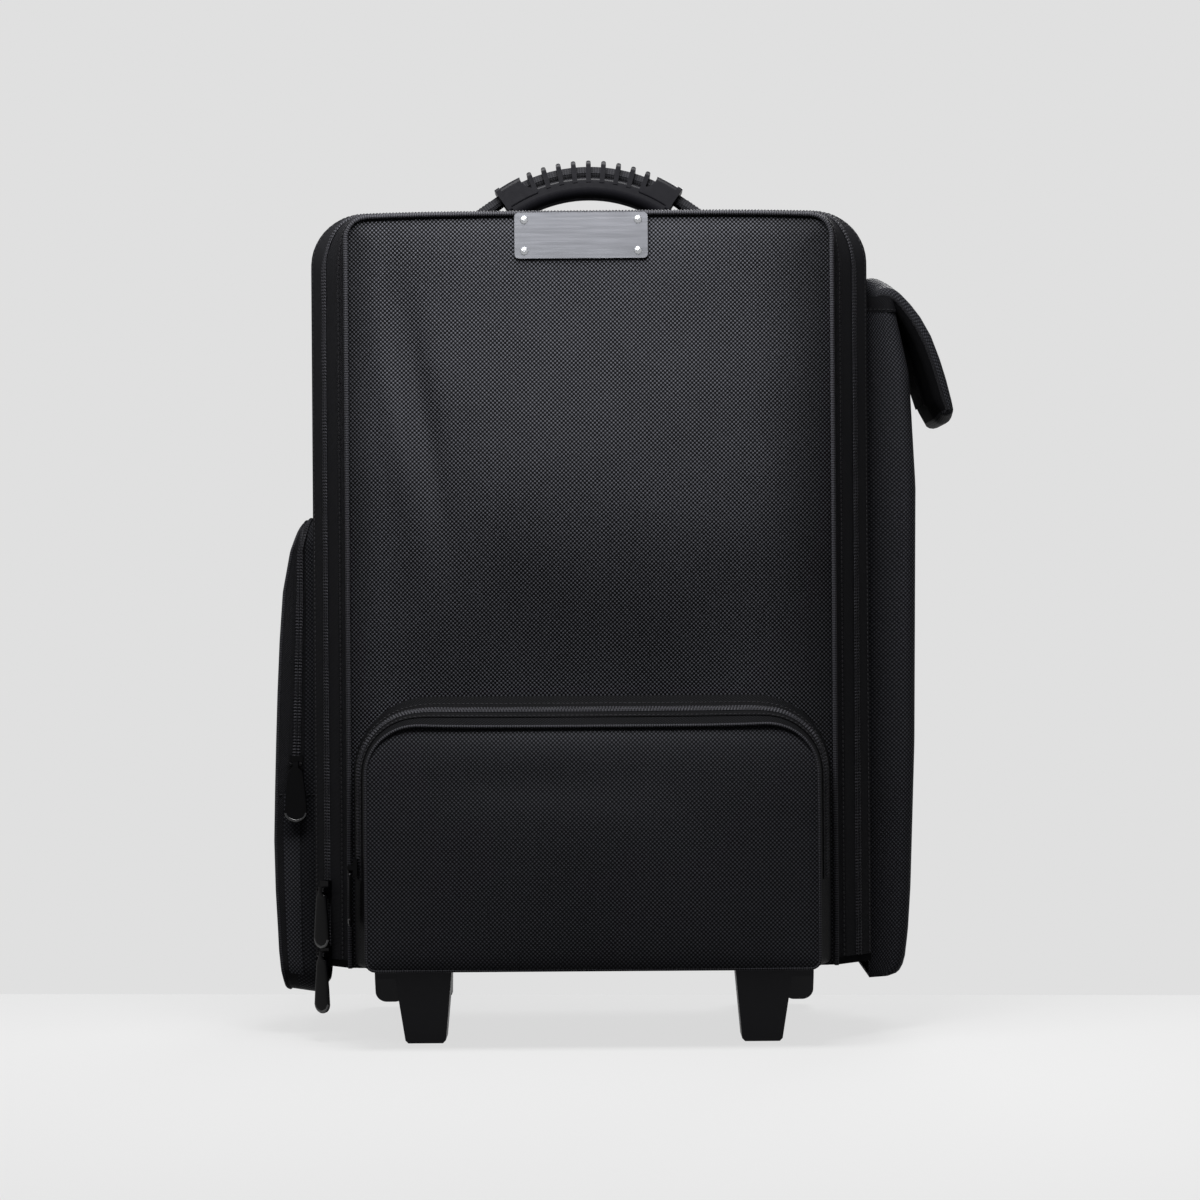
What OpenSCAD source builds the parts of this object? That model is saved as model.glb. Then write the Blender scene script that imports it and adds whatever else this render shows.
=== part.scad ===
// Rolling makeup case: a soft-sided upright case with a zipped front panel, three outside
// pockets, a ribbed carry handle, a telescopic trolley, two wheels and two front feet.
// The front faces -Y and the case stands on Z = 0.

/* [Case body] */
// Width of the case body
body_w = 380; // [376:1:396]
// Height of the top above the floor
top_z = 566; // [560:1:590]
// Height of the base's underside above the floor
base_z = 52; // [52:1:56]
// Depth of the body behind the main zip
body_d = 200; // [196:1:220]
// Radius of the top corners
corner_r = 34; // [28:1:38]
// Thickness of the padded walls
wall = 5; // [4.5:0.5:6]

/* [Front panel] */
// Width of the front panel's face
panel_w = 330; // [328:1:336]
// Depth of the gusset between the zip line and the panel
gusset_d = 27; // [25:1:30]
// Drop of the panel's top below the body's top
panel_drop = 4; // [2:1:6]
// Thickness of the panel's face
panel_t = 4; // [4:0.5:5]
// Radius of the panel's top corners
panel_r = 14; // [10:1:18]
// Thickness of gussets and pocket walls
skin = 3; // [2.5:0.5:3.5]
// Diameter of the piping cord
piping_d = 3.5; // [3:0.1:3.8]
// Width of each half of the main zip's tape
tape_w = 10; // [9:0.5:11]

/* [Metal plate] */
// Width of the plate
plate_w = 90; // [80:1:100]
// Height of the plate
plate_h = 31; // [26:1:36]
// Distance of the plate's middle from the centre plane, towards the left
plate_x = 5; // [0:1:10]
// Thickness of the plate
plate_t = 1.2; // [1:0.1:2]

/* [Front pocket] */
// Width of the pocket where it meets the panel
fp_w = 322; // [310:1:322]
// Height of the pocket where it meets the panel
fp_h = 183; // [170:1:200]
// How far the pocket stands out
fp_d = 38; // [34:1:40]
// Height of the fold that the flap turns on, above the base
fp_fold = 60; // [55:1:70]

/* [Side pockets] */
// Width of the left pocket along the case's depth
lp_w = 124; // [110:1:140]
// How far the left pocket stands out
lp_d = 30; // [28:1:34]
// Height of the left pocket's bottom above the floor
lp_z = 28; // [24:1:36]
// Height of the left pocket
lp_h = 331; // [320:1:345]
// Height of the left flap's fold above the pocket's bottom
lp_fold = 152; // [145:1:160]
// Width of the right pocket along the case's depth
rp_w = 130; // [124:1:140]
// How far the right pocket stands out
rp_d = 36; // [36:1:38]
// Height of the right pocket's bottom above the floor
rp_z = 38; // [30:1:46]
// Width of the right pocket's flap
flap_w = 116; // [100:1:120]

/* [Carry handle] */
// Radius of the grip's rib tops
grip_r = 116; // [112:1:120]
// Height of the rib tops above the case's top
grip_rise = 45; // [45:1:50]
// Half the angle that the grip spans
grip_a = 35; // [33:0.5:36]
// Width of the grip, front to back
grip_w = 28; // [28:1:32]
// Width of the webbing strap
strap_w = 23; // [20:1:24]
// Number of ribs on the grip
rib_n = 9; // [7:2:9]

/* [Trolley] */
// Distance of each tube from the centre plane
tube_x = 85; // [80:1:90]
// Outside diameter of the outer tubes
outer_d = 20; // [20:0.5:22]
// Wall of the tubes
tube_t = 1.5; // [1.2:0.1:1.5]
// Length of the inner tubes below the case's top
inner_l = 480; // [470:1:485]
// Diameter of the lock pins
pin_d = 6; // [5:0.5:6]

/* [Wheels and feet] */
// Diameter of a wheel
wheel_d = 46; // [42:1:46]
// Width of a wheel's tyre
wheel_w = 24; // [20:1:24]
// Distance of each wheel's middle from the body's side
wheel_side = 65; // [60:1:70]
// Diameter of the axles
axle_d = 6; // [5:0.5:7]
// Distance of each foot's middle from the body's side
foot_side = 74; // [70:1:82]
// Width of a foot at its top
foot_w = 40; // [36:1:44]
// Depth of a foot, front to back
foot_d = 32; // [28:1:36]

/* [Zip sliders] */
// Width of a slider
slider_w = 9; // [8:0.5:9]
// Height of a slider
slider_h = 12; // [10:0.5:12]
// Width of a puller's tab
pull_w = 16; // [14:0.5:17]
// Length of a puller
pull_l = 40; // [36:1:42]

/* [Hidden] */

$fn = 64;
// Segments of a circle inside a hull
hull_fn = 32;
// Thickness of the slices that a hull joins
slice = 0.01;

// Clearance between bodies that move past each other
gap = 0.4;
// Radial clearance of a running fit
run = 0.05;
// Clearance of a cord in its seam
seam = 0.1;

black = [0.06, 0.06, 0.065];
cloth = [0.09, 0.09, 0.1];
lining = [0.16, 0.16, 0.17];
satin = [0.75, 0.76, 0.77];
steel = [0.55, 0.56, 0.58];
rubber = [0.04, 0.04, 0.045];

// Inside faces of the body
floor_z = base_z + wall;
inner_w = body_w - 2 * wall;
roof_z = top_z - wall;
inner_r = corner_r - wall;

// Front panel: inner face, outer face and top edge
panel_in = -gusset_d;
panel_out = panel_in - panel_t;
panel_top = top_z - panel_drop;
panel_br = 6;

// Metal plate: height of its middle, its rivets
plate_z = panel_top - plate_h / 2;
rivet_d = 3;
rivet_in_x = 6.5;
rivet_in_z = 5;
dome_r = 3.4;
dome_sink = 2;

// Front pocket: bottom, fold, zip line and the taper from its base to its face
fp_z = base_z + 1;
fp_top = fp_z + fp_h;
fp_fold_z = base_z + fp_fold;
fp_zip = panel_out - fp_d / 2;
fp_taper = 10;
fp_drop = 17;
fp_r = 52;
fp_face_r = 36;
fp_br = 6;

// Side pockets: place along the depth, tops and folds
side_y = 85;
lp_top = lp_z + lp_h;
lp_fold_z = lp_z + lp_fold;
lp_zip_low = lp_d / 2;
lp_zip_high = 10;
lp_taper = 4;
rp_top = top_z - 58;
rp_mouth = 16;
rp_slope = 53;
rp_belly = 130;
rp_toe = 40;
back_sheet = 2;
pocket_r = 20;

// Right flap: reach from the body and height of its root
flap_reach = 63;
flap_z = rp_top;

// Patches that hold the flap: place under the flap and on the pocket
patch_w = 60;
hook_x = 41.8;
hook_drop = 62;
hook_tilt = 18;
hook_h = 22;
hook_t = 3;
loop_drop = 158;
loop_t = 1;

// Carry handle: centre of the arc and radii of the grip's layers
grip_y = 90;
grip_c = top_z + grip_rise - grip_r;
strap_t = 2.4;
groove_r = grip_r - 4;
strap_r = groove_r - strap_t;
core_r = strap_r + 0.3;
lip_r = grip_r - 12;
bed_w = strap_w - 3;
under_r = grip_r - 26;
rib_pitch = 5.4;
rib_t = 3.4;
scoop_r = 9;
scoop_a = grip_a - 14.3;
collar_a = grip_a - 14;
anchor_t = 3;
anchor_x = 88;
anchor_w = 30;
anchor_r = 3;
root_d = strap_w + 2;
pivot_z = top_z + anchor_t + gap + root_d / 2;
grip_floor = top_z + 9;

// Trolley
tube_y = body_d - 17;
bore_d = outer_d - 2 * tube_t;
inner_d = bore_d - gap;
hollow_d = inner_d - 2 * tube_t;
cover_t = 3;
cover_y = tube_y - outer_d / 2 - cover_t - 2;
bezel_w = 2 * tube_x + 40;
bezel_d = 28;
bezel_t = 4;
tgrip_w = 2 * tube_x + 26;
tgrip_d = 24;
tgrip_z = top_z + bezel_t + gap;
tgrip_h = 13;
socket_z = tgrip_z + 5;
tube_low = top_z - inner_l;
seat_z = floor_z + 5;
bracket_h = 15;
rod_d = 4;
plug_h = 14;
button_w = 34;
button_d = 11;
press = 3;
// A drawn-in pin's round tip stays inside the outer tube's bore
pin_tip = sqrt(pow(bore_d / 2, 2) - pow(pin_d / 2, 2)) - gap;
link_w = 2 * tube_x + rod_d;
link_z = socket_z + press + gap;
link_h = tgrip_z + tgrip_h - 2 - gap - link_z;
button_top = tgrip_z + tgrip_h + press - gap;

// Wheels: axle place and housing
wheel_x = body_w / 2 - wheel_side;
wheel_y = body_d - 15;
wheel_r = wheel_d / 2;
hub_r = 15;
cheek = wheel_w / 2 + 2;
inner_cheek = 6;
outer_cheek = 22;
arch_t = base_z - wheel_d - 2.5;
guard_z = 5;
guard_r = 8;
housing_y = wheel_y - wheel_r - 15;
housing_span = 8;
screw_d = 4;
head_d = 7;
head_t = 2;

// Feet: front face behind the panel's hinge, and the narrowing towards the floor
foot_x = body_w / 2 - foot_side;
foot_y = panel_in + 5;
foot_out = 8;
foot_in = 4.5;
foot_screw_l = 15;

// Zip sliders
slider_t = 3;
ear_t = 1.4;
ear_gap = 5.4;
ear_r = 1.8;
link_pin_d = 2;
link_play = 0.15;
pull_t = 1.8;
pull_neck = 5;
pull_top = 11;
reach = 5.6;
main_a = atan2(gusset_d, (body_w - panel_w) / 2);
main_y = -tape_w;
main_x = -body_w / 2 + tape_w * (body_w - panel_w) / 2 / gusset_d;
main_low_z = base_z + 8;
main_up_z = main_low_z + pull_l + 4;
zip_low = main_low_z + slider_h / 2 + 2;
front_slider_z = fp_fold_z + 10;
front_slider_x = -fp_w / 2 + fp_taper * (fp_d - slider_w) / 2 / fp_d;
left_slider_z = lp_fold_z + 8;
left_slider_x = -body_w / 2 - lp_zip_low
    + (lp_zip_low - lp_zip_high) * (left_slider_z - lp_fold_z) / (lp_top - lp_fold_z);
left_slider_y = side_y - lp_w / 2 + gap + 0.5;

// Middle of the whole part, which the placing module brings to X = Y = 0
mid_x = (flap_reach - lp_d) / 2;
mid_y = (wheel_y + wheel_r + panel_out - fp_d) / 2;

module place() {
    translate([-mid_x, -mid_y, 0]) children();
}

// Extrudes an X-Z outline from y0 back to y1
module slab(y0, y1) {
    translate([0, y1, 0]) rotate([90, 0, 0]) linear_extrude(y1 - y0) children();
}

// Extrudes a Y-Z outline from x0 to x1
module side_slab(x0, x1) {
    translate([x0, 0, 0]) rotate([90, 0, 90]) linear_extrude(x1 - x0) children();
}

// Turns a pocket that faces -Y to face the left side
module on_left() {
    translate([-body_w / 2, side_y, 0]) rotate([0, 0, -90]) children();
}

module on_right() {
    translate([body_w / 2, side_y, 0]) rotate([0, 0, 90]) children();
}

// Outline with a flat foot and two round top corners
module arch2d(w, zb, zt, r) {
    translate([-w / 2, zb]) square([w, zt - zb - r]);
    translate([-w / 2 + r, zb]) square([w - 2 * r, zt - zb]);
    for (s = [-1, 1]) translate([s * (w / 2 - r), zt - r]) circle(r);
}

// Rectangle with its own radius at the top and the bottom corners
module rect2d(w, zb, zt, rt, rb) {
    translate([-w / 2, zb + rb]) square([w, zt - zb - rt - rb]);
    translate([-w / 2 + rt, zt - rt]) square([w - 2 * rt, rt]);
    translate([-w / 2 + rb, zb]) square([w - 2 * rb, rb]);
    for (s = [-1, 1]) {
        translate([s * (w / 2 - rt), zt - rt]) circle(rt);
        translate([s * (w / 2 - rb), zb + rb]) circle(rb);
    }
}

// Round cord from one point of an X-Z plane to another
module run_cord(a, b, d) {
    v = b - a;
    translate([a[0], 0, a[1]]) rotate([0, atan2(v[0], v[1]), 0]) cylinder(d = d, h = norm(v));
}

// Quarter ring of cord, starting at the angle a0 from +X towards +Z
module bend_cord(c, r, a0, d) {
    translate([c[0], 0, c[1]]) rotate([90, 0, 0]) rotate([0, 0, a0])
        rotate_extrude(angle = 90) translate([r, 0]) circle(d = d);
}

// Cord along an arch, and along its foot too where closed is true
module arch_cord(w, zb, zt, rt, rb, d, closed) {
    low = closed ? zb + rb : zb;
    for (s = [-1, 1]) run_cord([s * w / 2, low], [s * w / 2, zt - rt], d);
    run_cord([-w / 2 + rt, zt], [w / 2 - rt, zt], d);
    bend_cord([w / 2 - rt, zt - rt], rt, 0, d);
    bend_cord([-w / 2 + rt, zt - rt], rt, 90, d);
    if (closed) {
        run_cord([-w / 2 + rb, zb], [w / 2 - rb, zb], d);
        bend_cord([-w / 2 + rb, zb + rb], rb, 180, d);
        bend_cord([w / 2 - rb, zb + rb], rb, 270, d);
    }
}

// Slice y0 to y1 of the tapered gusset between the body's edge and the panel
module gusset_ring(y0, y1, zb) {
    difference() {
        intersection() {
            hull() {
                slab(-slice, 0) arch2d(body_w, zb, top_z, corner_r, $fn = hull_fn);
                slab(panel_in, panel_in + slice) arch2d(panel_w, zb, panel_top, panel_r, $fn = hull_fn);
            }
            translate([-body_w, y0, 0]) cube([2 * body_w, y1 - y0, 2 * top_z]);
        }
        hull() {
            slab(0, 1) arch2d(body_w - 2 * skin, 0, top_z - skin, corner_r - skin, $fn = hull_fn);
            slab(panel_in - 1, panel_in)
                arch2d(panel_w - 2 * skin, 0, panel_top - skin, panel_r - skin, $fn = hull_fn);
        }
    }
}

// Solid through a list of levels: [stand-out, width, bottom, top, upper and lower corner radius]
module bulge(levels) {
    hull() for (l = levels) for (s = [-1, 1]) for (c = [[l[3] - l[4], l[4]], [l[2] + l[5], l[5]]])
        translate([s * (l[1] / 2 - c[1]), -l[0], c[0]]) rotate([90, 0, 0])
            cylinder(r = c[1], h = slice, $fn = hull_fn);
}

// The same levels drawn in by the skin, with the innermost one at the stand-out back
function inside(levels, back) = [for (l = levels)
    [l[0] == 0 ? back : l[0] - skin, l[1] - 2 * skin, l[2] + skin, l[3] - skin, l[4] - skin, l[5] - skin]];

module pocket_shell(levels, back) {
    difference() {
        bulge(levels);
        bulge(inside(levels, back));
    }
}

fp_levels = [
    [0, fp_w, fp_z, fp_top, fp_r, fp_br],
    [fp_d, fp_w - 2 * fp_taper, fp_z, fp_top - fp_drop, fp_face_r, fp_br]
];
lp_levels = [
    [0, lp_w, lp_z, lp_top, pocket_r, pocket_r],
    [lp_d * 0.6, lp_w - lp_taper, lp_z + 2, lp_top - 26, pocket_r, pocket_r],
    [lp_d, lp_w - 2 * lp_taper, lp_z + 14, lp_fold_z + 34, pocket_r - 6, pocket_r - 6]
];
rp_levels = [
    [0, rp_w, rp_z, rp_top, 8, 8],
    [rp_mouth, rp_w - 4, rp_z + 1, rp_top, 8, 8],
    [rp_d - 8, rp_w - 8, rp_z + 3, rp_top - rp_slope, 12, 12],
    [rp_d, rp_w - 12, rp_z + rp_toe, rp_top - rp_belly, 14, 14]
];

module body_band() color(cloth) difference() {
    slab(0, body_d - wall) arch2d(body_w, floor_z, top_z, corner_r);
    slab(-1, body_d) arch2d(inner_w, floor_z - 1, roof_z, inner_r);
    for (s = [-1, 1]) translate([s * tube_x, tube_y, roof_z - 1])
        cylinder(d = outer_d + gap, h = wall + 2);
}

module back_cord(extra) {
    translate([0, body_d - piping_d / 2 + 0.4, 0])
        arch_cord(body_w - 2, base_z, top_z - 1, corner_r, 0, piping_d + extra, false);
}

module back_panel() color(cloth) difference() {
    slab(body_d - wall, body_d) arch2d(body_w, base_z, top_z, corner_r);
    back_cord(2 * seam);
}

module back_piping() color(black) back_cord(0);

module base_panel() color(black) difference() {
    translate([0, 0, base_z]) linear_extrude(wall) polygon([
        [-body_w / 2, body_d - wall], [-body_w / 2, 0], [-panel_w / 2, panel_in + gap],
        [panel_w / 2, panel_in + gap], [body_w / 2, 0], [body_w / 2, body_d - wall]
    ]);
    housing_spots() cylinder(d = screw_d + 2 * run, h = 2 * wall + 2, center = true);
    foot_spots() cylinder(d = screw_d + 2 * run, h = 2 * wall + 2, center = true);
}

module trolley_cover() color(lining)
    slab(cover_y, cover_y + cover_t) arch2d(inner_w - 1, floor_z, roof_z - 0.5, inner_r);

// Tape with the zip's sewn end, which crosses to the panel below the lower slider
module zip_tape_body() color(black) difference() {
    gusset_ring(-2 * tape_w + gap, 0, floor_z);
    translate([-body_w, -3 * tape_w + gap, zip_low]) cube([2 * body_w, 2 * tape_w, top_z]);
}

module zip_tape_panel() color(black) gusset_ring(-2 * tape_w, -tape_w, zip_low + gap);

module panel_gusset() color(cloth) gusset_ring(panel_in, -2 * tape_w, floor_z + gap);

module panel_cord(extra) {
    translate([0, panel_out + piping_d / 2 + seam, 0])
        arch_cord(panel_w - 2, base_z + 1.5, panel_top - 1, panel_r, panel_br, piping_d + extra, true);
}

module plate_spots() {
    for (s = [-1, 1]) for (t = [-1, 1])
        translate([s * (plate_w / 2 - rivet_in_x) - plate_x, panel_out, plate_z + t * (plate_h / 2 - rivet_in_z)])
            rotate([90, 0, 0]) children();
}

module front_panel_face() color(cloth) difference() {
    slab(panel_out, panel_in) rect2d(panel_w, base_z, panel_top, panel_r, panel_br);
    panel_cord(2 * seam);
    plate_spots() cylinder(d = rivet_d + 2 * run, h = 4 * panel_t, center = true);
}

module panel_piping() color(black) panel_cord(0);

module name_plate() color(satin) difference() {
    translate([-plate_x, 0, plate_z]) slab(panel_out - plate_t, panel_out)
        rect2d(plate_w, -plate_h / 2, plate_h / 2, 3, 3);
    plate_spots() cylinder(d = rivet_d + 2 * run, h = 4 * panel_t, center = true);
}

// Dome rivets with a shank through the plate and the panel
module plate_rivets() color(steel) plate_spots() {
    translate([0, 0, -panel_t]) cylinder(d = rivet_d, h = panel_t + plate_t);
    translate([0, 0, plate_t]) intersection() {
        translate([0, 0, -dome_sink]) sphere(r = dome_r);
        cylinder(r = dome_r, h = dome_r);
    }
}

module front_shell() translate([0, panel_out, 0]) pocket_shell(fp_levels, -1);

// Box on the inner side of a zip line, and on the outer side above the fold
module front_inner(y0, y1) translate([-body_w, y0, fp_fold_z]) cube([2 * body_w, y1 - y0, top_z]);

module front_pocket() color(cloth) difference() {
    front_shell();
    front_inner(panel_out - 2 * fp_d, fp_zip + tape_w / 2);
}

module front_pocket_zip_inner() color(black) intersection() {
    front_shell();
    front_inner(fp_zip, fp_zip + tape_w / 2);
}

module front_pocket_zip_outer() color(black) intersection() {
    front_shell();
    translate([0, 0, gap]) front_inner(fp_zip - gap - tape_w / 2, fp_zip - gap);
}

module front_pocket_flap() color(cloth) intersection() {
    front_shell();
    translate([0, 0, gap]) front_inner(panel_out - 2 * fp_d, fp_zip - gap - tape_w / 2);
}

module left_shell() on_left() pocket_shell(lp_levels, back_sheet);

// Space between two lines beside the left pocket's zip, above its fold; out is measured from it
module left_strip(out0, out1, lift) {
    on_left() rotate([90, 0, 90]) translate([0, 0, -lp_w]) linear_extrude(2 * lp_w) polygon([
        [-lp_zip_low - out0, lp_fold_z + lift], [-lp_zip_low - out1, lp_fold_z + lift],
        [-lp_zip_high - out1, lp_top + 1], [-lp_zip_high - out0, lp_top + 1]
    ]);
}

module left_pocket() color(cloth) difference() {
    left_shell();
    left_strip(-tape_w / 2, 2 * lp_d, 0);
}

module left_pocket_zip_inner() color(black) intersection() {
    left_shell();
    left_strip(-tape_w / 2, 0, 0);
}

module left_pocket_zip_outer() color(black) intersection() {
    left_shell();
    left_strip(gap, gap + tape_w / 2, gap);
}

module left_pocket_flap() color(cloth) intersection() {
    left_shell();
    left_strip(gap + tape_w / 2, 2 * lp_d, gap);
}

// Pocket with an open mouth at its top
module right_pocket() color(cloth) on_right() difference() {
    bulge(rp_levels);
    bulge([for (l = inside(rp_levels, back_sheet))
        l[0] < rp_d / 2 ? [l[0], l[1], l[2], l[3] + 30, l[4], l[5]] : l]);
}

// Side view of the padded flap, from its root over the mouth to its round tip
module flap2d() {
    polygon(flap_reach / 63 * [
        [0.5, gap], [0.5, 9], [3, 12.3], [7, 13.5], [12, 13.3], [19.5, 10.2], [27.5, 3.5], [36.8, -8],
        [47, -26], [53, -42], [57.3, -56], [62.3, -76.5], [63, -81], [60.5, -85], [56.5, -86.5], [52, -85],
        [49, -81.5], [45.5, -74], [41, -60], [36, -44], [30, -28], [22, -8], [17, 2], [11, 5], [6, 4], [3, gap]
    ]);
}

module right_flap() color(cloth) difference() {
    translate([body_w / 2, side_y + flap_w / 2, flap_z]) rotate([90, 0, 0])
        linear_extrude(flap_w) flap2d();
    hook_block(seam);
}

// Patch set into the flap's underside
module hook_block(extra) {
    translate([body_w / 2 + hook_x, side_y, flap_z - hook_drop]) rotate([0, -hook_tilt, 0])
        cube([hook_t + 2 * extra, patch_w + 2 * extra, hook_h + 2 * extra], center = true);
}

module hook_patch() color(black) hook_block(0);

module loop_patch() color(black)
    translate([body_w / 2 + rp_d + slice, side_y - patch_w / 2, rp_top - loop_drop])
        cube([loop_t, patch_w, hook_h + 2]);

// Sector of the handle's arc between two angles from the vertical; children are X = radius outlines
module handle_arc(a0, a1) {
    translate([0, grip_y, grip_c]) rotate([90, 0, 0]) rotate([0, 0, 90 - a1])
        rotate_extrude(angle = a1 - a0) rotate(-90) children();
}

// Turns what stands over the handle's arc to the angle a from the vertical
module on_arc(a) translate([0, grip_y, grip_c]) rotate([0, a, 0]) children();

// Bars with round tops across the strap
module grip_ribs() intersection() {
    for (i = [-(rib_n - 1) / 2 : (rib_n - 1) / 2]) on_arc(i * rib_pitch)
        slab(-grip_w, grip_w) arch2d(rib_t, lip_r - 5, grip_r, rib_t / 2 - 0.2);
    handle_arc(-grip_a, grip_a) rect2d(grip_w + 0.6, lip_r - 4, grip_r + 1, 4, 1);
}

// Full end of the grip, hollowed towards the ribs, with a lip round its mouth
module grip_collar() {
    difference() {
        handle_arc(collar_a, grip_a - 0.3) rect2d(grip_w + 1.2, lip_r - 5, grip_r - 0.5, 3, 1.5);
        on_arc(scoop_a) translate([0, 0, lip_r + scoop_r + 0.3]) rotate([90, 0, 0])
            cylinder(r = scoop_r, h = 2 * grip_w, center = true);
    }
    handle_arc(grip_a - 1.8, grip_a) rect2d(grip_w + 3, lip_r - 7, grip_r + 0.2, 2, 2);
}

// Moulded grip: a saddle with a raised bed for the strap, ribs over it and a collar at each end
module handle_grip() color(rubber) difference() {
    union() {
        handle_arc(-grip_a + 0.5, grip_a - 0.5) rect2d(grip_w, under_r, lip_r, 2, 7);
        handle_arc(-grip_a + 0.7, grip_a - 0.7) rect2d(bed_w, lip_r - 3, core_r, 0.5, 0.5);
        grip_ribs();
        for (s = [0, 1]) mirror([s, 0, 0]) grip_collar();
    }
    handle_arc(-grip_a - 1, grip_a + 1) translate([-strap_w / 2 - 0.3, strap_r - 0.2])
        square([strap_w + 0.6, strap_t + 0.4]);
    translate([-body_w / 2, grip_y - grip_w, top_z]) cube([body_w, 2 * grip_w, grip_floor - top_z]);
}

// Strap through the grip, with a straight tail at each end that is round at its root
module handle_webbing() color(black) {
    tail_l = 36;
    handle_arc(-grip_a, grip_a) translate([-strap_w / 2, strap_r]) square([strap_w, strap_t]);
    intersection() {
        for (s = [0, 1]) mirror([s, 0, 0]) on_arc(grip_a) translate([0, -strap_w / 2, strap_r])
            cube([tail_l, strap_w, strap_t]);
        union() {
            translate([-body_w / 2, grip_y - strap_w, pivot_z]) cube([body_w, 2 * strap_w, grip_rise]);
            translate([-body_w / 2, grip_y, pivot_z]) rotate([0, 90, 0]) cylinder(d = root_d, h = body_w);
        }
    }
}

module handle_anchors() color(black) for (s = [-1, 1])
    translate([s * anchor_x, grip_y, top_z]) linear_extrude(anchor_t)
        rect2d(anchor_w, -anchor_w / 2, anchor_w / 2, anchor_r, anchor_r);

module tube_spots(s, z) translate([s * tube_x, tube_y, z]) children();

module outer_tube(s) color(steel) tube_spots(s, seat_z) difference() {
    cylinder(d = outer_d, h = top_z - seat_z);
    translate([0, 0, -1]) cylinder(d = bore_d, h = top_z);
}

module trolley_base() color(black) difference() {
    translate([0, tube_y, floor_z]) linear_extrude(bracket_h)
        rect2d(2 * tube_x + 30, -outer_d / 2 - 1.5, outer_d / 2 + 1.5, 4, 4);
    for (s = [-1, 1]) tube_spots(s, seat_z) cylinder(d = outer_d + 2 * run, h = bracket_h);
}

module trolley_bezel() color(black) difference() {
    translate([0, tube_y, top_z]) linear_extrude(bezel_t)
        rect2d(bezel_w, -bezel_d / 2, bezel_d / 2, 10, 10);
    for (s = [-1, 1]) tube_spots(s, top_z - 1) cylinder(d = inner_d + gap, h = bezel_t + 2);
}

// Inner tube with a hole for its lock pin near the lower end
module inner_tube(s) color(steel) difference() {
    tube_spots(s, tube_low) cylinder(d = inner_d, h = socket_z - tube_low);
    tube_spots(s, tube_low - 1) cylinder(d = hollow_d, h = socket_z);
    tube_spots(s, tube_low + plug_h / 2) rotate([0, s * 90, 0])
        cylinder(d = pin_d + 2 * run, h = outer_d);
}

// Bar of the pull-up handle, hollow for the release link and open above for the button
module trolley_grip() color(rubber) difference() {
    translate([0, tube_y, tgrip_z]) linear_extrude(tgrip_h)
        rect2d(tgrip_w, -tgrip_d / 2, tgrip_d / 2, 10, 10);
    for (s = [-1, 1]) tube_spots(s, tgrip_z - 1)
        cylinder(d = inner_d + 2 * run, h = socket_z - tgrip_z + 1);
    translate([-link_w / 2 - 1, tube_y - rod_d, socket_z])
        cube([link_w + 2, 2 * rod_d, link_z + link_h + gap - socket_z]);
    translate([-button_w / 2 - gap, tube_y - button_d / 2 - gap, socket_z])
        cube([button_w + 2 * gap, button_d + 2 * gap, tgrip_h]);
}

module tube_plugs() color(black) for (s = [-1, 1]) difference() {
    tube_spots(s, tube_low) cylinder(d = hollow_d - 2 * run, h = plug_h);
    tube_spots(s, tube_low + plug_h / 2) rotate([0, 90, 0])
        cylinder(d = pin_d + 2 * run, h = outer_d, center = true);
}

module trolley_button() color(satin)
    translate([0, tube_y, link_z + link_h]) linear_extrude(button_top - link_z - link_h)
        rect2d(button_w, -button_d / 2, button_d / 2, 3, 3);

// Link under the button with a rod down each inner tube
module release_rods() color(steel) {
    translate([-link_w / 2, tube_y - rod_d / 2, link_z]) cube([link_w, rod_d, link_h]);
    for (s = [-1, 1]) tube_spots(s, tube_low + plug_h + press + 1)
        cylinder(d = rod_d, h = link_z + link_h / 2 - tube_low - plug_h - press - 1);
}

module lock_pin(s) color(steel) tube_spots(s, tube_low + plug_h / 2)
    rotate([0, s * 90, 0]) translate([0, 0, 1]) cylinder(d = pin_d, h = pin_tip - 1);

module housing_spots() for (s = [-1, 1]) for (t = [-1, 1])
    translate([s * wheel_x + t * housing_span, housing_y + 7, base_z]) children();

// Fork over a wheel with a heavy outer guard, seen from behind and cut to its side view
module wheel_housing(s) color(black) difference() {
    translate([s * wheel_x, 0, 0]) mirror([s < 0 ? 1 : 0, 0, 0]) difference() {
        intersection() {
            slab(housing_y, body_d) union() {
                translate([cheek + outer_cheek / 2, 0]) rect2d(outer_cheek, guard_z, base_z, 0.5, guard_r);
                translate([-cheek - inner_cheek, guard_z + 5]) square([inner_cheek, base_z - guard_z - 5]);
                translate([-cheek - inner_cheek, base_z - arch_t])
                    square([2 * cheek + inner_cheek, arch_t]);
            }
            side_slab(-2 * wheel_x, 2 * wheel_x) polygon([
                [housing_y, base_z], [body_d, base_z], [body_d, wheel_r],
                [wheel_y + 8, guard_z], [wheel_y - 8, guard_z], [wheel_y - wheel_r + 4, wheel_r],
                [housing_y + 13, base_z - 8], [housing_y, base_z - 6]
            ]);
        }
        translate([-cheek - inner_cheek - 1, wheel_y, wheel_r]) rotate([0, 90, 0])
            cylinder(d = axle_d + 2 * run, h = 2 * cheek + inner_cheek + 9);
    }
    housing_spots() cylinder(d = screw_d + 2 * run, h = 2 * wall + 2, center = true);
}

module housing_screws() color(steel) housing_spots() {
    translate([0, 0, -arch_t]) cylinder(d = screw_d, h = arch_t + wall);
    translate([0, 0, -arch_t - head_t]) cylinder(d = head_d, h = head_t);
}

module axle(s) color(steel) translate([s * wheel_x, wheel_y, wheel_r]) rotate([0, s * 90, 0])
    translate([0, 0, -cheek - inner_cheek]) cylinder(d = axle_d, h = 2 * cheek + inner_cheek + 8);

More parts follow.
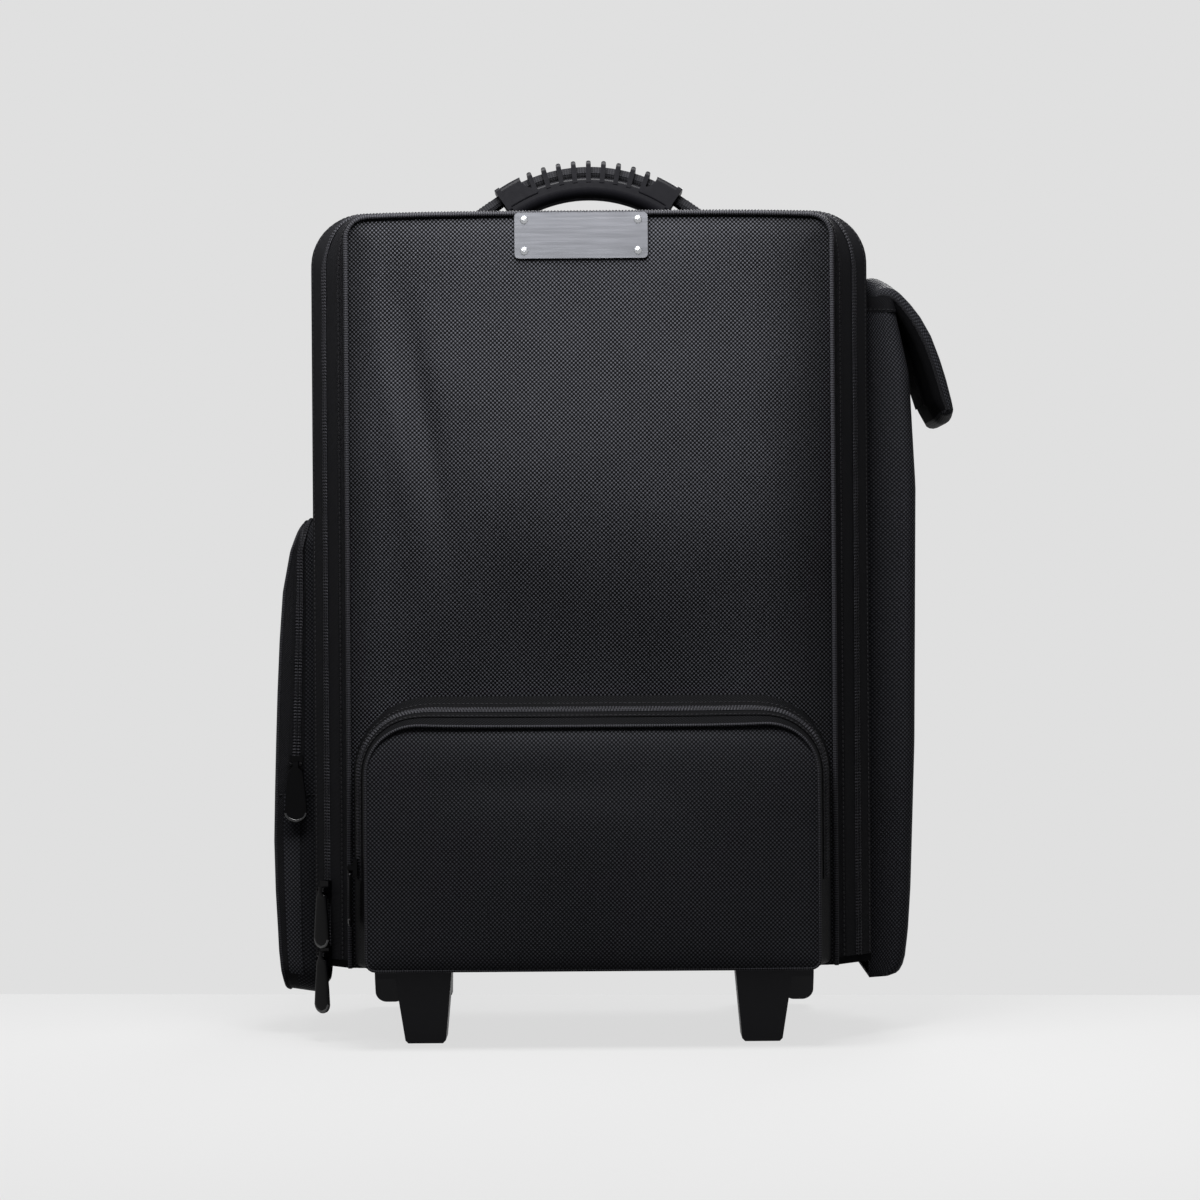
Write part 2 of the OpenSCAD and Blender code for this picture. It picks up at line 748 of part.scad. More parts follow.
// Hub with a dished face on each side
module wheel_hub(s) color(lining) translate([s * wheel_x, wheel_y, wheel_r]) rotate([0, 90, 0])
    rotate_extrude() polygon([
        [axle_d / 2 + run, -wheel_w / 2], [axle_d / 2 + 4, -wheel_w / 2], [axle_d / 2 + 5, -wheel_w / 2 + 5],
        [hub_r - 3, -wheel_w / 2 + 5], [hub_r - 2, -wheel_w / 2 + 1], [hub_r, -wheel_w / 2 + 1],
        [hub_r, wheel_w / 2 - 1], [hub_r - 2, wheel_w / 2 - 1], [hub_r - 3, wheel_w / 2 - 5],
        [axle_d / 2 + 5, wheel_w / 2 - 5], [axle_d / 2 + 4, wheel_w / 2], [axle_d / 2 + run, wheel_w / 2]
    ]);

module wheel_tyre(s) color(rubber) translate([s * wheel_x, wheel_y, wheel_r]) rotate([0, 90, 0])
    rotate_extrude() rotate(-90) rect2d(wheel_w - 1, hub_r + run, wheel_r, 3, 0.5);

module foot_spots() for (s = [-1, 1])
    translate([s * foot_x, foot_y + foot_d / 2, base_z]) children();

// Foot that narrows to the floor, more on its outer side
module foot(s) color(black) difference() {
    translate([s * foot_x, 0, 0]) mirror([s < 0 ? 1 : 0, 0, 0]) slab(foot_y, foot_y + foot_d) polygon([
        [-foot_w / 2, base_z], [foot_w / 2, base_z], [foot_w / 2 - foot_out, 2],
        [foot_w / 2 - foot_out - 2, 0], [foot_in + 2 - foot_w / 2, 0], [foot_in - foot_w / 2, 2]
    ]);
    foot_spots() translate([0, 0, -foot_screw_l]) cylinder(d = screw_d + 2 * run, h = foot_screw_l + 1);
}

module foot_screws() color(steel) foot_spots() {
    translate([0, 0, -foot_screw_l]) cylinder(d = screw_d, h = foot_screw_l + wall);
    translate([0, 0, wall]) cylinder(d = head_d, h = head_t);
}

// Slider that faces -Y, with a cross pin between two ears at the distance out
module slider(out) color(black) {
    translate([-slider_w / 2, -gap - slider_t, -slider_h / 2]) cube([slider_w, slider_t, slider_h]);
    for (s = [-1, 1]) translate([s * (ear_gap + ear_t) / 2 - ear_t / 2, 0, 0]) {
        translate([0, -out, -ear_r]) cube([ear_t, out - gap - slider_t / 2, 2 * ear_r]);
        translate([0, -out, 0]) rotate([0, 90, 0]) cylinder(r = ear_r, h = ear_t);
    }
    translate([-ear_gap / 2 - ear_t / 2, -out, 0]) rotate([0, 90, 0])
        cylinder(d = link_pin_d, h = ear_gap + ear_t);
}

// Tab that hangs from a slider's cross pin
module puller(out) color(black) difference() {
    neck_w = ear_gap - 2 * gap;
    union() {
        translate([0, -out, 0]) slab(-pull_t / 2, pull_t / 2) {
            translate([0, pull_w / 2 - pull_l]) circle(d = pull_w);
            polygon([
                [-pull_top / 2, -pull_neck], [pull_top / 2, -pull_neck],
                [pull_w / 2 - 0.2, pull_w / 2 - pull_l], [0.2 - pull_w / 2, pull_w / 2 - pull_l]
            ]);
            translate([-neck_w / 2, -pull_neck - 1]) square([neck_w, pull_neck + 1]);
        }
        translate([-neck_w / 2, -out, 0]) rotate([0, 90, 0]) cylinder(d = link_pin_d + 2, h = neck_w);
    }
    translate([-ear_gap, -out, 0]) rotate([0, 90, 0])
        cylinder(d = link_pin_d + 2 * link_play, h = 2 * ear_gap);
}

module at_main(z) translate([main_x, main_y, z]) rotate([0, 0, -main_a]) children();
module at_front() translate([front_slider_x, fp_zip, front_slider_z]) rotate([0, 0, -90]) children();
module at_left() translate([left_slider_x, left_slider_y, left_slider_z]) children();

place() {
    body_band();
    back_panel();
    base_panel();
    back_piping();
    trolley_cover();
    zip_tape_body();
    left_pocket();
    left_pocket_zip_inner();
    right_pocket();
    loop_patch();
    handle_anchors();
    wheel_housing(-1);  // wheel_housing_left
    wheel_housing(1);  // wheel_housing_right
    housing_screws();
    axle(-1);  // axle_left
    axle(1);  // axle_right
    foot(-1);  // foot_left
    foot(1);  // foot_right
    foot_screws();
    trolley_bezel();
    outer_tube(-1);  // outer_tube_left
    outer_tube(1);  // outer_tube_right
    trolley_base();
    front_panel_face();
    panel_gusset();
    panel_piping();
    zip_tape_panel();
    name_plate();
    plate_rivets();
    front_pocket();
    front_pocket_zip_inner();
    front_pocket_flap();
    front_pocket_zip_outer();
    left_pocket_flap();
    left_pocket_zip_outer();
    right_flap();
    hook_patch();
    handle_grip();
    handle_webbing();
    inner_tube(-1);  // inner_tube_left
    inner_tube(1);  // inner_tube_right
    trolley_grip();
    tube_plugs();
    trolley_button();
    release_rods();
    lock_pin(-1);  // lock_pin_left
    lock_pin(1);  // lock_pin_right
    wheel_hub(-1);  // wheel_hub_left
    wheel_hub(1);  // wheel_hub_right
    wheel_tyre(-1);  // wheel_tyre_left
    wheel_tyre(1);  // wheel_tyre_right
    at_main(main_up_z) slider(reach);  // main_slider_upper
    at_main(main_low_z) slider(reach);  // main_slider_lower
    at_front() slider(reach);  // front_slider
    at_left() slider(reach);  // left_slider
    at_main(main_up_z) puller(reach);  // main_puller_upper
    at_main(main_low_z) puller(reach);  // main_puller_lower
    at_front() puller(reach);  // front_puller
    at_left() puller(reach);  // left_puller
}
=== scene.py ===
"""Looks of the rolling makeup case: woven cloth panels, piping, coil zips, pockets, handle and stage."""

import math

import bpy
import numpy as np
from bpy.props import FloatProperty, FloatVectorProperty, PointerProperty
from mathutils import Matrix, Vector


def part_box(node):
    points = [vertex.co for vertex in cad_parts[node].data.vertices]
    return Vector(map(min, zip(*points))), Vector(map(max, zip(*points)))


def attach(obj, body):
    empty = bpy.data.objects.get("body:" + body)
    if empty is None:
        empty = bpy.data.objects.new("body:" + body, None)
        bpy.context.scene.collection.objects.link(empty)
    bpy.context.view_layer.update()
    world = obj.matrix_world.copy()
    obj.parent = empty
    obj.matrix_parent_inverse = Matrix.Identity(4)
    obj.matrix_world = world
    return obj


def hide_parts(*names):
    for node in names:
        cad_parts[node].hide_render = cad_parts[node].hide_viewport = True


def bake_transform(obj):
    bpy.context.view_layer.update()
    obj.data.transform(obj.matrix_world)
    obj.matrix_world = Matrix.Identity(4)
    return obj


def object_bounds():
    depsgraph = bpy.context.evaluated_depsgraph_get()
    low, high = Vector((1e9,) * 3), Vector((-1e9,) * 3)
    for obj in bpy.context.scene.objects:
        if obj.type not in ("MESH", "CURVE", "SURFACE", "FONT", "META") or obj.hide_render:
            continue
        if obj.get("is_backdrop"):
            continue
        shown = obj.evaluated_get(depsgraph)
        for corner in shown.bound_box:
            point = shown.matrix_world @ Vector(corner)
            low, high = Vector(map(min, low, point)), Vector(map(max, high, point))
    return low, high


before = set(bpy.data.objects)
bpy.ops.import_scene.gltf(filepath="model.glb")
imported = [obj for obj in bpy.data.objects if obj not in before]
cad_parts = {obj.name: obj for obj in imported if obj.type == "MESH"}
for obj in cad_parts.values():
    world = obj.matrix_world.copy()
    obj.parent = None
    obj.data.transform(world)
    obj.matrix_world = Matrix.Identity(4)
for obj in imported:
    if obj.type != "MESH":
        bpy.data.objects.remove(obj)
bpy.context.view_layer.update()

bl_info = {
    "name": "Rolling makeup case",
    "version": (1, 0, 0),
    "blender": (4, 5, 0),
    "location": "View3D > Sidebar > Makeup case",
    "description": "Dresses the packed makeup case in cloth, zips, trim and studio light",
    "category": "Object",
}

MM = 0.001
TAU = 2 * math.pi


def span(*nodes):
    """Lowest and highest corner of several CAD nodes together."""
    corners = [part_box(n) for n in nodes]
    return np.min([c[0] for c in corners], axis=0), np.max([c[1] for c in corners], axis=0)


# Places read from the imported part, in metres
BAND_LO, BAND_HI = span("body_band")
BACK_LO, BACK_HI = span("back_panel")
FACE_LO, FACE_HI = span("front_panel_face")
FP_LO, FP_HI = span("front_pocket", "front_pocket_flap")
FP_FOLD = span("front_pocket_flap")[0][2]
LP_LO, LP_HI = span("left_pocket", "left_pocket_flap")
LP_FOLD = span("left_pocket_flap")[0][2]
RP_LO, RP_HI = span("right_pocket")
FLAP_LO, FLAP_HI = span("right_flap")
MID_X = (BAND_LO[0] + BAND_HI[0]) / 2
BODY_W = BAND_HI[0] - BAND_LO[0]
TOP_Z = BAND_HI[2]
FLOOR_Z = BAND_LO[2]
BASE_Z = BACK_LO[2]
ZIP_Y = BAND_LO[1]
PANEL_W = FACE_HI[0] - FACE_LO[0]
PANEL_TOP = FACE_HI[2]
PANEL_OUT = FACE_LO[1]
PANEL_IN = FACE_HI[1]

# Sizes of the soft goods, in metres
BODY_R = 34 * MM
PANEL_R = 14 * MM
DROOP = 2.5 * MM
FOOT_R = 6 * MM
FRONT_BASE_R = 52 * MM
FRONT_FACE_W, FRONT_FACE_TOP, FRONT_FACE_R = 302 * MM, 216 * MM, 36 * MM
LEFT_FACE_W, LEFT_BASE_R, LEFT_FACE_R = 116 * MM, 20 * MM, 18 * MM
POUCH_R, POUCH_TAPER = 9 * MM, 6 / 36
WALL_CLOTH = 1.5 * MM
FACE_PAD = 3 * MM
SHELL = 5 * MM
EDGE_RECESS = 3.4 * MM
TAPE, TAPE_LIFT, COIL_LIFT = 0.6 * MM, 0.7 * MM, 0.9 * MM
STRAP = 2.4 * MM


# Settings


def colour_setting(name, description, *value):
    """Property for a colour."""
    return FloatVectorProperty(name=name, description=description, subtype="COLOR", size=3, default=value)


def length_setting(name, description, value):
    """Property for a length in metres."""
    return FloatProperty(name=name, description=description, unit="LENGTH", default=value)


class CaseLook(bpy.types.PropertyGroup):
    """Sizes and colours of the case's dress."""

    cloth: colour_setting("Cloth", "Colour of the woven panels", 0.014, 0.0143, 0.0165)
    plain: colour_setting("Plain cloth", "Colour of gussets and zip tapes", 0.0075, 0.0075, 0.0085)
    lining: colour_setting("Lining", "Colour of the inside", 0.022, 0.022, 0.024)
    moulded: colour_setting("Moulded parts", "Colour of feet, grip and housings", 0.0082, 0.0081, 0.0102)
    plate: colour_setting("Plate", "Colour of the satin metal plate", 0.215, 0.22, 0.24)
    floor: colour_setting("Floor", "Colour of the floor", 0.83, 0.83, 0.83)
    backdrop: colour_setting("Backdrop", "Colour behind the case", 0.745, 0.745, 0.745)
    weave: length_setting("Weave pitch", "Distance between raised yarns", 2.8 * MM)
    piping: length_setting("Piping radius", "Radius of the edge cord", 1.5 * MM)
    tooth: length_setting("Zip pitch", "Distance between coil turns", 2.2 * MM)
    stitch: length_setting("Stitch length", "Length of one stitch", 3.2 * MM)
    crown: length_setting("Panel crown", "How far the front panel swells", 11 * MM)


def look():
    """The settings that the operators read."""
    return bpy.context.scene.case_look


# Shader expressions


class Val:
    """A shader socket that takes part in Python arithmetic."""

    def __init__(self, shade, socket):
        self.shade, self.socket = shade, socket

    def math(self, operation, *others):
        """One Math node on this value and the others."""
        return self.shade.node("ShaderNodeMath", {"operation": operation}, [self, *others])

    def __add__(self, other):
        return self.math("ADD", other)

    def __sub__(self, other):
        return self.math("SUBTRACT", other)

    def __rsub__(self, other):
        return self.shade.node("ShaderNodeMath", {"operation": "SUBTRACT"}, [other, self])

    def __mul__(self, other):
        return self.math("MULTIPLY", other)

    __radd__, __rmul__ = __add__, __mul__

    def sin(self):
        """Sine of the value in radians."""
        return self.math("SINE")

    def smooth(self, low, high):
        """0 below low, 1 above high and a smooth rise between."""
        return self.shade.node("ShaderNodeMapRange", {"interpolation_type": "SMOOTHSTEP"},
                               {"Value": self, "From Min": low, "From Max": high})


class Graph:
    """A node tree that expressions add their nodes to."""

    def __init__(self, tree):
        self.tree = tree

    def node(self, kind, settings=None, inputs=(), output=0):
        """Adds a node of that kind: its settings first, then the values or links of its sockets."""
        made = self.tree.nodes.new(kind)
        for key, value in (settings or {}).items():
            setattr(made, key, value)
        pairs = inputs.items() if isinstance(inputs, dict) else enumerate(inputs)
        for key, value in pairs:
            if isinstance(value, Val):
                self.tree.links.new(value.socket, made.inputs[key])
            else:
                made.inputs[key].default_value = value
        return Val(self, made.outputs[output])

    def mix(self, factor, low, high):
        """Colour between two colours."""
        return self.node("ShaderNodeMix", {"data_type": "RGBA"}, {0: factor, 6: (*low, 1), 7: (*high, 1)}, 2)

    def in_view(self):
        """1 for rays from the camera and those that metal and glass send on, 0 for light that falls on the case."""
        kinds = ("Is Camera Ray", "Is Glossy Ray", "Is Transmission Ray")
        camera, glossy, clear = [self.node("ShaderNodeLightPath", {}, (), k) for k in kinds]
        return camera.math("MAXIMUM", glossy).math("MAXIMUM", clear)


class Shade(Graph):
    """A material under construction around one Principled shader."""

    def __init__(self, name, **constants):
        self.material = bpy.data.materials.new(name)
        self.material.use_nodes = True
        super().__init__(self.material.node_tree)
        self.shader = self.tree.nodes["Principled BSDF"]
        for socket, value in constants.items():
            self.shader.inputs[socket.replace("_", " ")].default_value = value

    def feed(self, socket, value):
        """Links a value to one of the shader's own sockets."""
        self.tree.links.new(value.socket, self.shader.inputs[socket])

    def uv(self):
        """The piece's surface coordinates, in metres, as two values."""
        flat = self.node("ShaderNodeUVMap", {"uv_map": "UVMap"})
        return [self.node("ShaderNodeSeparateXYZ", {}, [flat], k) for k in (0, 1)]

    def spot(self):
        """Object coordinates as a vector."""
        return self.node("ShaderNodeTexCoord", {}, (), 3)

    def noise(self, vector, scale, detail=2.0):
        """Noise between 0 and 1 at that many waves a metre."""
        return self.node("ShaderNodeTexNoise", {}, {"Vector": vector, "Scale": scale, "Detail": detail})

    def bump(self, height, distance, strength=1.0):
        """Feeds a relief of that depth in metres to the normal."""
        self.feed("Normal", self.node("ShaderNodeBump", {}, {
            "Height": height, "Distance": distance, "Strength": strength}))


def shaded(colour, factor):
    """A colour times a factor."""
    return tuple(c * factor for c in colour)


def woven(name, colour, pitch, sheen_contrast, rough, half=None):
    """Ballistic cloth: yarns rise in a chequer of sine bumps, with a soft drift of tone; the yarn tops are lighter and
    the gaps darker in colour, painted highlight and painted shade laid on the weave's pattern; where half a width is
    given, the cloth is darker towards its sides as painted shade."""
    shade = Shade(name, Specular_IOR_Level=0.04)
    u, v = shade.uv()
    turns = TAU / pitch
    yarn = (u * turns).sin() * (v * turns).sin() * 0.5 + 0.5
    drift = shade.noise(shade.spot(), 9.0, 3.0)
    fibre = shade.noise(shade.spot(), 1600.0, 1.0)
    tone = yarn + (fibre - 0.5) * 0.12 + (drift - 0.5) * 0.2
    # Painted highlight on the yarn tops and painted shade in the gaps: the weave's tone spreads the colour far above
    # and below the cloth's own colour.
    cloth = shade.mix(tone.smooth(0.35, 0.95), shaded(colour, 1 - sheen_contrast), shaded(colour, 1 + 4 * sheen_contrast))
    # Painted shade: the colour falls to half within 26 mm of the left side and 60 mm of the right side.
    if half:
        left = (u + half).smooth(0, 26 * MM)
        right = (half - u).smooth(0, 60 * MM)
        cloth = shade.node("ShaderNodeMix", {"data_type": "RGBA", "blend_type": "MULTIPLY"},
                           {0: 1.0, 6: cloth, 7: left * right * 0.5 + 0.5}, 2)
    shade.feed("Base Color", cloth)
    shade.feed("Roughness", rough + (fibre - 0.5) * 0.1 - yarn.smooth(0.4, 0.9) * 0.25)
    shade.bump(yarn * 0.8 + fibre * 0.2, 0.35 * MM, 0.9)
    return shade.material


def ribbed(name, colour, pitch, rough, dark=0.6, light=1.5):
    """Tape, webbing or coil: fine cross ribs along the length and a thread grain across; on the coil the light ribs
    are painted highlights.
    """
    shade = Shade(name, Specular_IOR_Level=0.04)
    u, v = shade.uv()
    rib = (u * (TAU / pitch)).sin() * 0.5 + 0.5
    thread = (v * (TAU / (pitch * 0.7))).sin() * 0.5 + 0.5
    grain = shade.noise(shade.spot(), 1400.0, 1.0)
    tone = rib * 0.5 + thread * 0.3 + grain * 0.3
    shade.feed("Base Color", shade.mix(tone.smooth(0.1, 1.0), shaded(colour, dark), shaded(colour, light)))
    shade.feed("Roughness", rough + (grain - 0.5) * 0.2)
    shade.bump(rib * 0.6 + thread * 0.4, 0.2 * MM, 0.8)
    return shade.material


def moulded(name, colour, rough, grain_scale, depth, gloss=0.14):
    """Moulded plastic or rubber: a pebbled skin with slightly shinier high spots."""
    shade = Shade(name, Specular_IOR_Level=gloss)
    spot = shade.spot()
    pebble = shade.noise(spot, grain_scale, 2.0)
    drift = shade.noise(spot, 25.0, 2.0)
    shade.feed("Base Color", shade.mix(drift, shaded(colour, 0.85), shaded(colour, 1.2)))
    shade.feed("Roughness", rough + (pebble - 0.5) * 0.2 + (drift - 0.5) * 0.12)
    shade.bump(pebble, depth, 0.6)
    return shade.material


def metal(name, colour, rough, brush):
    """Metal with a fine brushed grain that runs along X."""
    shade = Shade(name, Metallic=1.0)
    spot = shade.spot()
    stretched = shade.node("ShaderNodeMapping", {}, {"Vector": spot, "Scale": (30.0, 900.0, brush)})
    grain = shade.noise(stretched, 1.0, 3.0)
    cloud = shade.noise(spot, 40.0, 2.0)
    shade.feed("Base Color", shade.mix(grain, shaded(colour, 0.9), shaded(colour, 1.06)))
    shade.feed("Roughness", rough + (grain - 0.5) * 0.16 + (cloud - 0.5) * 0.08)
    shade.bump(grain, 0.02 * MM, 0.4)
    return shade.material


MATERIALS = {}


def finish_of(key):
    """The finish with that key, made when it is first asked for."""
    if key not in MATERIALS:
        s = look()
        makers = {
            # The front panel's cloth carries painted shade towards its sides.
            "cloth": lambda: woven("Ballistic cloth", s.cloth, s.weave, 0.95, 0.66, PANEL_W / 2),
            "pocket_cloth": lambda: woven("Pocket cloth", shaded(s.cloth, 0.85), s.weave, 0.6, 0.68),
            # Painted light: the right pocket's cloth, also used on the left pocket's strip, is the cloth at 1.2 times
            # its colour.
            "bag_cloth": lambda: woven("Bag cloth", shaded(s.cloth, 1.2), s.weave, 0.5, 0.7),
            "side_cloth": lambda: woven("Side cloth", shaded(s.cloth, 0.8), s.weave, 0.5, 0.7),
            "plain": lambda: woven("Plain gusset cloth", s.plain, s.weave * 0.45, 0.4, 0.72),
            # Painted shade: the front pocket's top-facing wall is the cloth at 0.16 of its colour.
            "strip": lambda: woven("Pocket strip", shaded(s.cloth, 0.16), s.weave * 0.8, 0.5, 0.75),
            "lining": lambda: woven("Lining cloth", s.lining, 1.2 * MM, 0.3, 0.7),
            "tape": lambda: ribbed("Zip tape", s.plain, 0.9 * MM, 0.7),
            # Painted shade: the front pocket's zip tape is the plain tape at 0.4 of its colour.
            "dark_tape": lambda: ribbed("Pocket zip tape", shaded(s.plain, 0.4), 0.9 * MM, 0.7),
            "webbing": lambda: ribbed("Webbing", shaded(s.plain, 1.5), 1.8 * MM, 0.62),
            # Painted highlight: each coil turn is 2.6 times the colour and the gaps between are 0.03 times, for the
            # light on the turns' crests.
            "coil": lambda: ribbed("Zip coil", shaded(s.plain, 2), s.tooth, 0.45, 0.03, 2.6),
            "piping": lambda: ribbed("Piping", shaded(s.plain, 1.8), 1.6 * MM, 0.6, 0.3, 3.4),
            "thread": lambda: moulded("Thread", shaded(s.plain, 1.6), 0.55, 900.0, 0.02 * MM),
            "plastic": lambda: moulded("Grained plastic", s.moulded, 0.45, 1100.0, 0.05 * MM),
            "grip": lambda: moulded("Grip rubber", shaded(s.moulded, 0.6), 0.4, 300.0, 0.02 * MM, 0.1),
            "tyre": lambda: moulded("Tyre rubber", s.moulded, 0.7, 500.0, 0.05 * MM),
            "enamel": lambda: moulded("Black enamel", shaded(s.moulded, 0.2), 0.2, 150.0, 0.01 * MM, 0.06),
            # Painted highlight: the pulls' lip is three times the tab's colour, and glossier.
            "lip": lambda: moulded("Enamel lip with painted highlight", shaded(s.moulded, 0.6), 0.25, 150.0, 0.01 * MM, 0.5),
            "board": lambda: moulded("Base board", shaded(s.plain, 0.5), 0.85, 900.0, 0.1 * MM, 0.02),
            "hook": lambda: moulded("Hook tape", shaded(s.plain, 0.35), 0.9, 1500.0, 0.4 * MM, 0.02),
            "loop": lambda: moulded("Loop tape", s.plain, 0.95, 1200.0, 0.3 * MM, 0.04),
            "button": lambda: moulded("Grey button", (0.10, 0.10, 0.105), 0.35, 500.0, 0.01 * MM),
            "plate": lambda: metal("Satin plate", s.plate, 0.42, 900.0),
            "rivet": lambda: metal("Rivet steel", (0.5, 0.51, 0.53), 0.25, 60.0),
            "tube": lambda: metal("Tube metal", (0.55, 0.56, 0.58), 0.3, 20.0),
            "steel": lambda: metal("Plated steel", (0.45, 0.45, 0.47), 0.35, 60.0),
        }
        MATERIALS[key] = makers[key]()
    return MATERIALS[key]


# Meshes


class Shape:
    """A mesh being put together: points, and faces with a surface coordinate for each corner and a finish number."""

    def __init__(self):
        self.points, self.parts = np.zeros((0, 3)), []

    def put(self, points):
        """Adds points and gives the number of the first."""
        start = len(self.points)
        self.points = np.concatenate([self.points, points.reshape(-1, 3)])
        return start

    def cover(self, faces, coords, finish=0):
        """Adds faces, one row each, with a surface coordinate for each corner."""
        self.parts.append((faces, coords, finish))

    def outward(self):
        """Turns all faces round if the closed shape's volume, summed over fans of triangles, is negative."""
        volume = 0.0
        for faces, _, _ in self.parts:
            p = self.points[faces]
            for k in range(1, faces.shape[1] - 1):
                volume += np.einsum("ij,ij->", p[:, 0], np.cross(p[:, k], p[:, k + 1]))
        if volume < 0:
            self.parts = [(f[:, ::-1], c[:, ::-1], k) for f, c, k in self.parts]
        return self


def merged(shapes):
    """Several shapes as one."""
    whole = Shape()
    for shape in shapes:
        start = whole.put(shape.points)
        for faces, coords, finish in shape.parts:
            whole.cover(faces + start, coords, finish)
    return whole


def unit(vectors):
    """Vectors scaled to length 1."""
    return vectors / np.maximum(np.linalg.norm(vectors, axis=-1, keepdims=True), 1e-12)


def cells(rows, cols):
    """Corner places (row, column) of each cell of a grid."""
    i, j = np.meshgrid(np.arange(rows - 1), np.arange(cols - 1), indexing="ij")
    ring = [(0, 0), (1, 0), (1, 1), (0, 1)]
    return np.stack([np.stack([i + a, j + b], axis=-1) for a, b in ring], axis=-2).reshape(-1, 4, 2)


def flattened(grid):
    """Surface coordinates of a grid: mean arc length along its rows and along its columns, in metres."""
    along = np.linalg.norm(np.diff(grid, axis=0), axis=2).mean(axis=1)
    across = np.linalg.norm(np.diff(grid, axis=1), axis=2).mean(axis=0)
    u, v = [np.concatenate([[0.0], np.cumsum(d)]) for d in (along, across)]
    return np.stack(np.meshgrid(u, v, indexing="ij"), axis=-1)


def slab(front, back, finishes=(0, 0), coords=None):
    """Closed sheet between two grids of one size: both faces and the rim that joins their edges."""
    rows, cols = front.shape[:2]
    shape = Shape()
    a, b = shape.put(front), shape.put(back)
    place = cells(rows, cols)
    number = place[..., 0] * cols + place[..., 1]
    flat = flattened(front) if coords is None else coords
    corner = flat[place[..., 0], place[..., 1]]
    shape.cover(number + a, corner, finishes[0])
    shape.cover((number + b)[:, ::-1], corner[:, ::-1], finishes[1])
    k = np.arange(rows * cols).reshape(rows, cols)
    edge = np.concatenate([k[0, :-1], k[:-1, -1], k[-1, :0:-1], k[:0:-1, 0]])
    ahead = np.roll(edge, -1)
    spots = flat.reshape(-1, 2)
    rim = np.stack([edge + a, ahead + a, ahead + b, edge + b], axis=-1)
    shape.cover(rim, np.stack([spots[edge], spots[ahead], spots[ahead], spots[edge]], axis=1), finishes[0])
    return shape.outward()


def loft(rings, closed=False):
    """Skin over a row of closed rings, with flat ends unless the row closes on itself."""
    rows, cols = rings.shape[:2]
    shape = Shape()
    shape.put(rings)
    place = cells(rows + closed, cols + 1)
    wide = np.concatenate([rings, rings[:, :1]], axis=1)
    wide = np.concatenate([wide, wide[:1]]) if closed else wide
    flat = flattened(wide)
    number = (place[..., 0] % rows) * cols + place[..., 1] % cols
    shape.cover(number, flat[place[..., 0], place[..., 1]])
    if not closed:
        first, last = np.arange(cols), np.arange(rows * cols - cols, rows * cols)
        shape.cover(np.stack([first, last[::-1]]), np.zeros((2, cols, 2)))
    return shape.outward()


def resample(path, count):
    """The same path as that many points, evenly spaced along its length."""
    steps = np.concatenate([[0.0], np.cumsum(np.linalg.norm(np.diff(path, axis=0), axis=1))])
    even = np.linspace(0, steps[-1], count)
    return np.stack([np.interp(even, steps, path[:, k]) for k in range(path.shape[1])], axis=-1)


def tangents(path, closed=False):
    """Unit direction of travel at each point of a path."""
    ahead = np.roll(path, -1, axis=0) - np.roll(path, 1, axis=0) if closed else np.gradient(path, axis=0)
    return unit(ahead)


def circle(radius, sides=10):
    """Round profile as points in two directions."""
    turn = np.arange(sides) * (TAU / sides)
    return np.stack([np.cos(turn), np.sin(turn)], axis=-1) * radius


def carried(path, lift, profile, closed=False):
    """Profile carried along a path: its first measure goes across the travel and its second along the lift."""
    lift = np.broadcast_to(np.asarray(lift, float), path.shape)
    across = unit(np.cross(tangents(path, closed), lift))
    return path[:, None] + across[:, None] * profile[None, :, :1] + lift[:, None] * profile[None, :, 1:]


def cord(path, lift, radius, closed=False):
    """Round cord along a path."""
    return loft(carried(path, lift, circle(radius), closed), closed)


def stitches(path, lift, length):
    """Row of stitches: one small capsule of four hexagon rings at each even step along a path."""
    total = np.linalg.norm(np.diff(path, axis=0), axis=1).sum()
    count = max(int(total / length), 2)
    lift = resample(np.broadcast_to(np.asarray(lift, float), path.shape), 2 * count + 1)[1::2]
    spots = resample(path, 2 * count + 1)
    ahead, spots = unit(spots[2::2] - spots[:-1:2]), spots[1::2]
    across = unit(np.cross(ahead, lift))
    lengthwise = np.repeat([-0.5, -0.36, 0.36, 0.5], 6) * length * 0.66
    ring = np.tile(circle(0.42 * MM, 6), (4, 1)) * np.repeat([0.4, 1.0, 1.0, 0.4], 6)[:, None]
    points = (spots[:, None] + ahead[:, None] * lengthwise[None, :, None] + across[:, None] * ring[None, :, :1]
              + unit(lift)[:, None] * ring[None, :, 1:])
    one = loft(points[0].reshape(4, 6, 3))
    shape = Shape()
    shape.put(points)
    for faces, coords, finish in one.parts:
        many = faces[None] + (np.arange(count) * 24)[:, None, None]
        shape.cover(many.reshape(-1, faces.shape[1]), np.tile(coords, (count, 1, 1)), finish)
    return shape


def piece(name, shape, finishes, body, nodes=()):
    """Makes the mesh object of a shape, gives it its finishes, ties it to its body and hides the nodes it stands for.
    """
    mesh = bpy.data.meshes.new(name)
    faces = [f for part, _, _ in shape.parts for f in part.tolist()]
    mesh.from_pydata(shape.points.tolist(), [], faces)
    corners = np.concatenate([c.reshape(-1, 2) for _, c, _ in shape.parts])
    mesh.uv_layers.new(name="UVMap").data.foreach_set("uv", corners.ravel())
    for key in finishes:
        mesh.materials.append(finish_of(key))
    numbers = np.concatenate([np.full(len(f), k) for f, _, k in shape.parts])
    mesh.polygons.foreach_set("material_index", numbers)
    mesh.polygons.foreach_set("use_smooth", np.ones(len(faces), bool))
    mesh.set_sharp_from_angle(angle=math.radians(50))
    mesh.update()
    obj = bpy.data.objects.new(name, mesh)
    bpy.context.scene.collection.objects.link(obj)
    if body:
        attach(obj, body)
    if nodes:
        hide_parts(*nodes)
    return obj


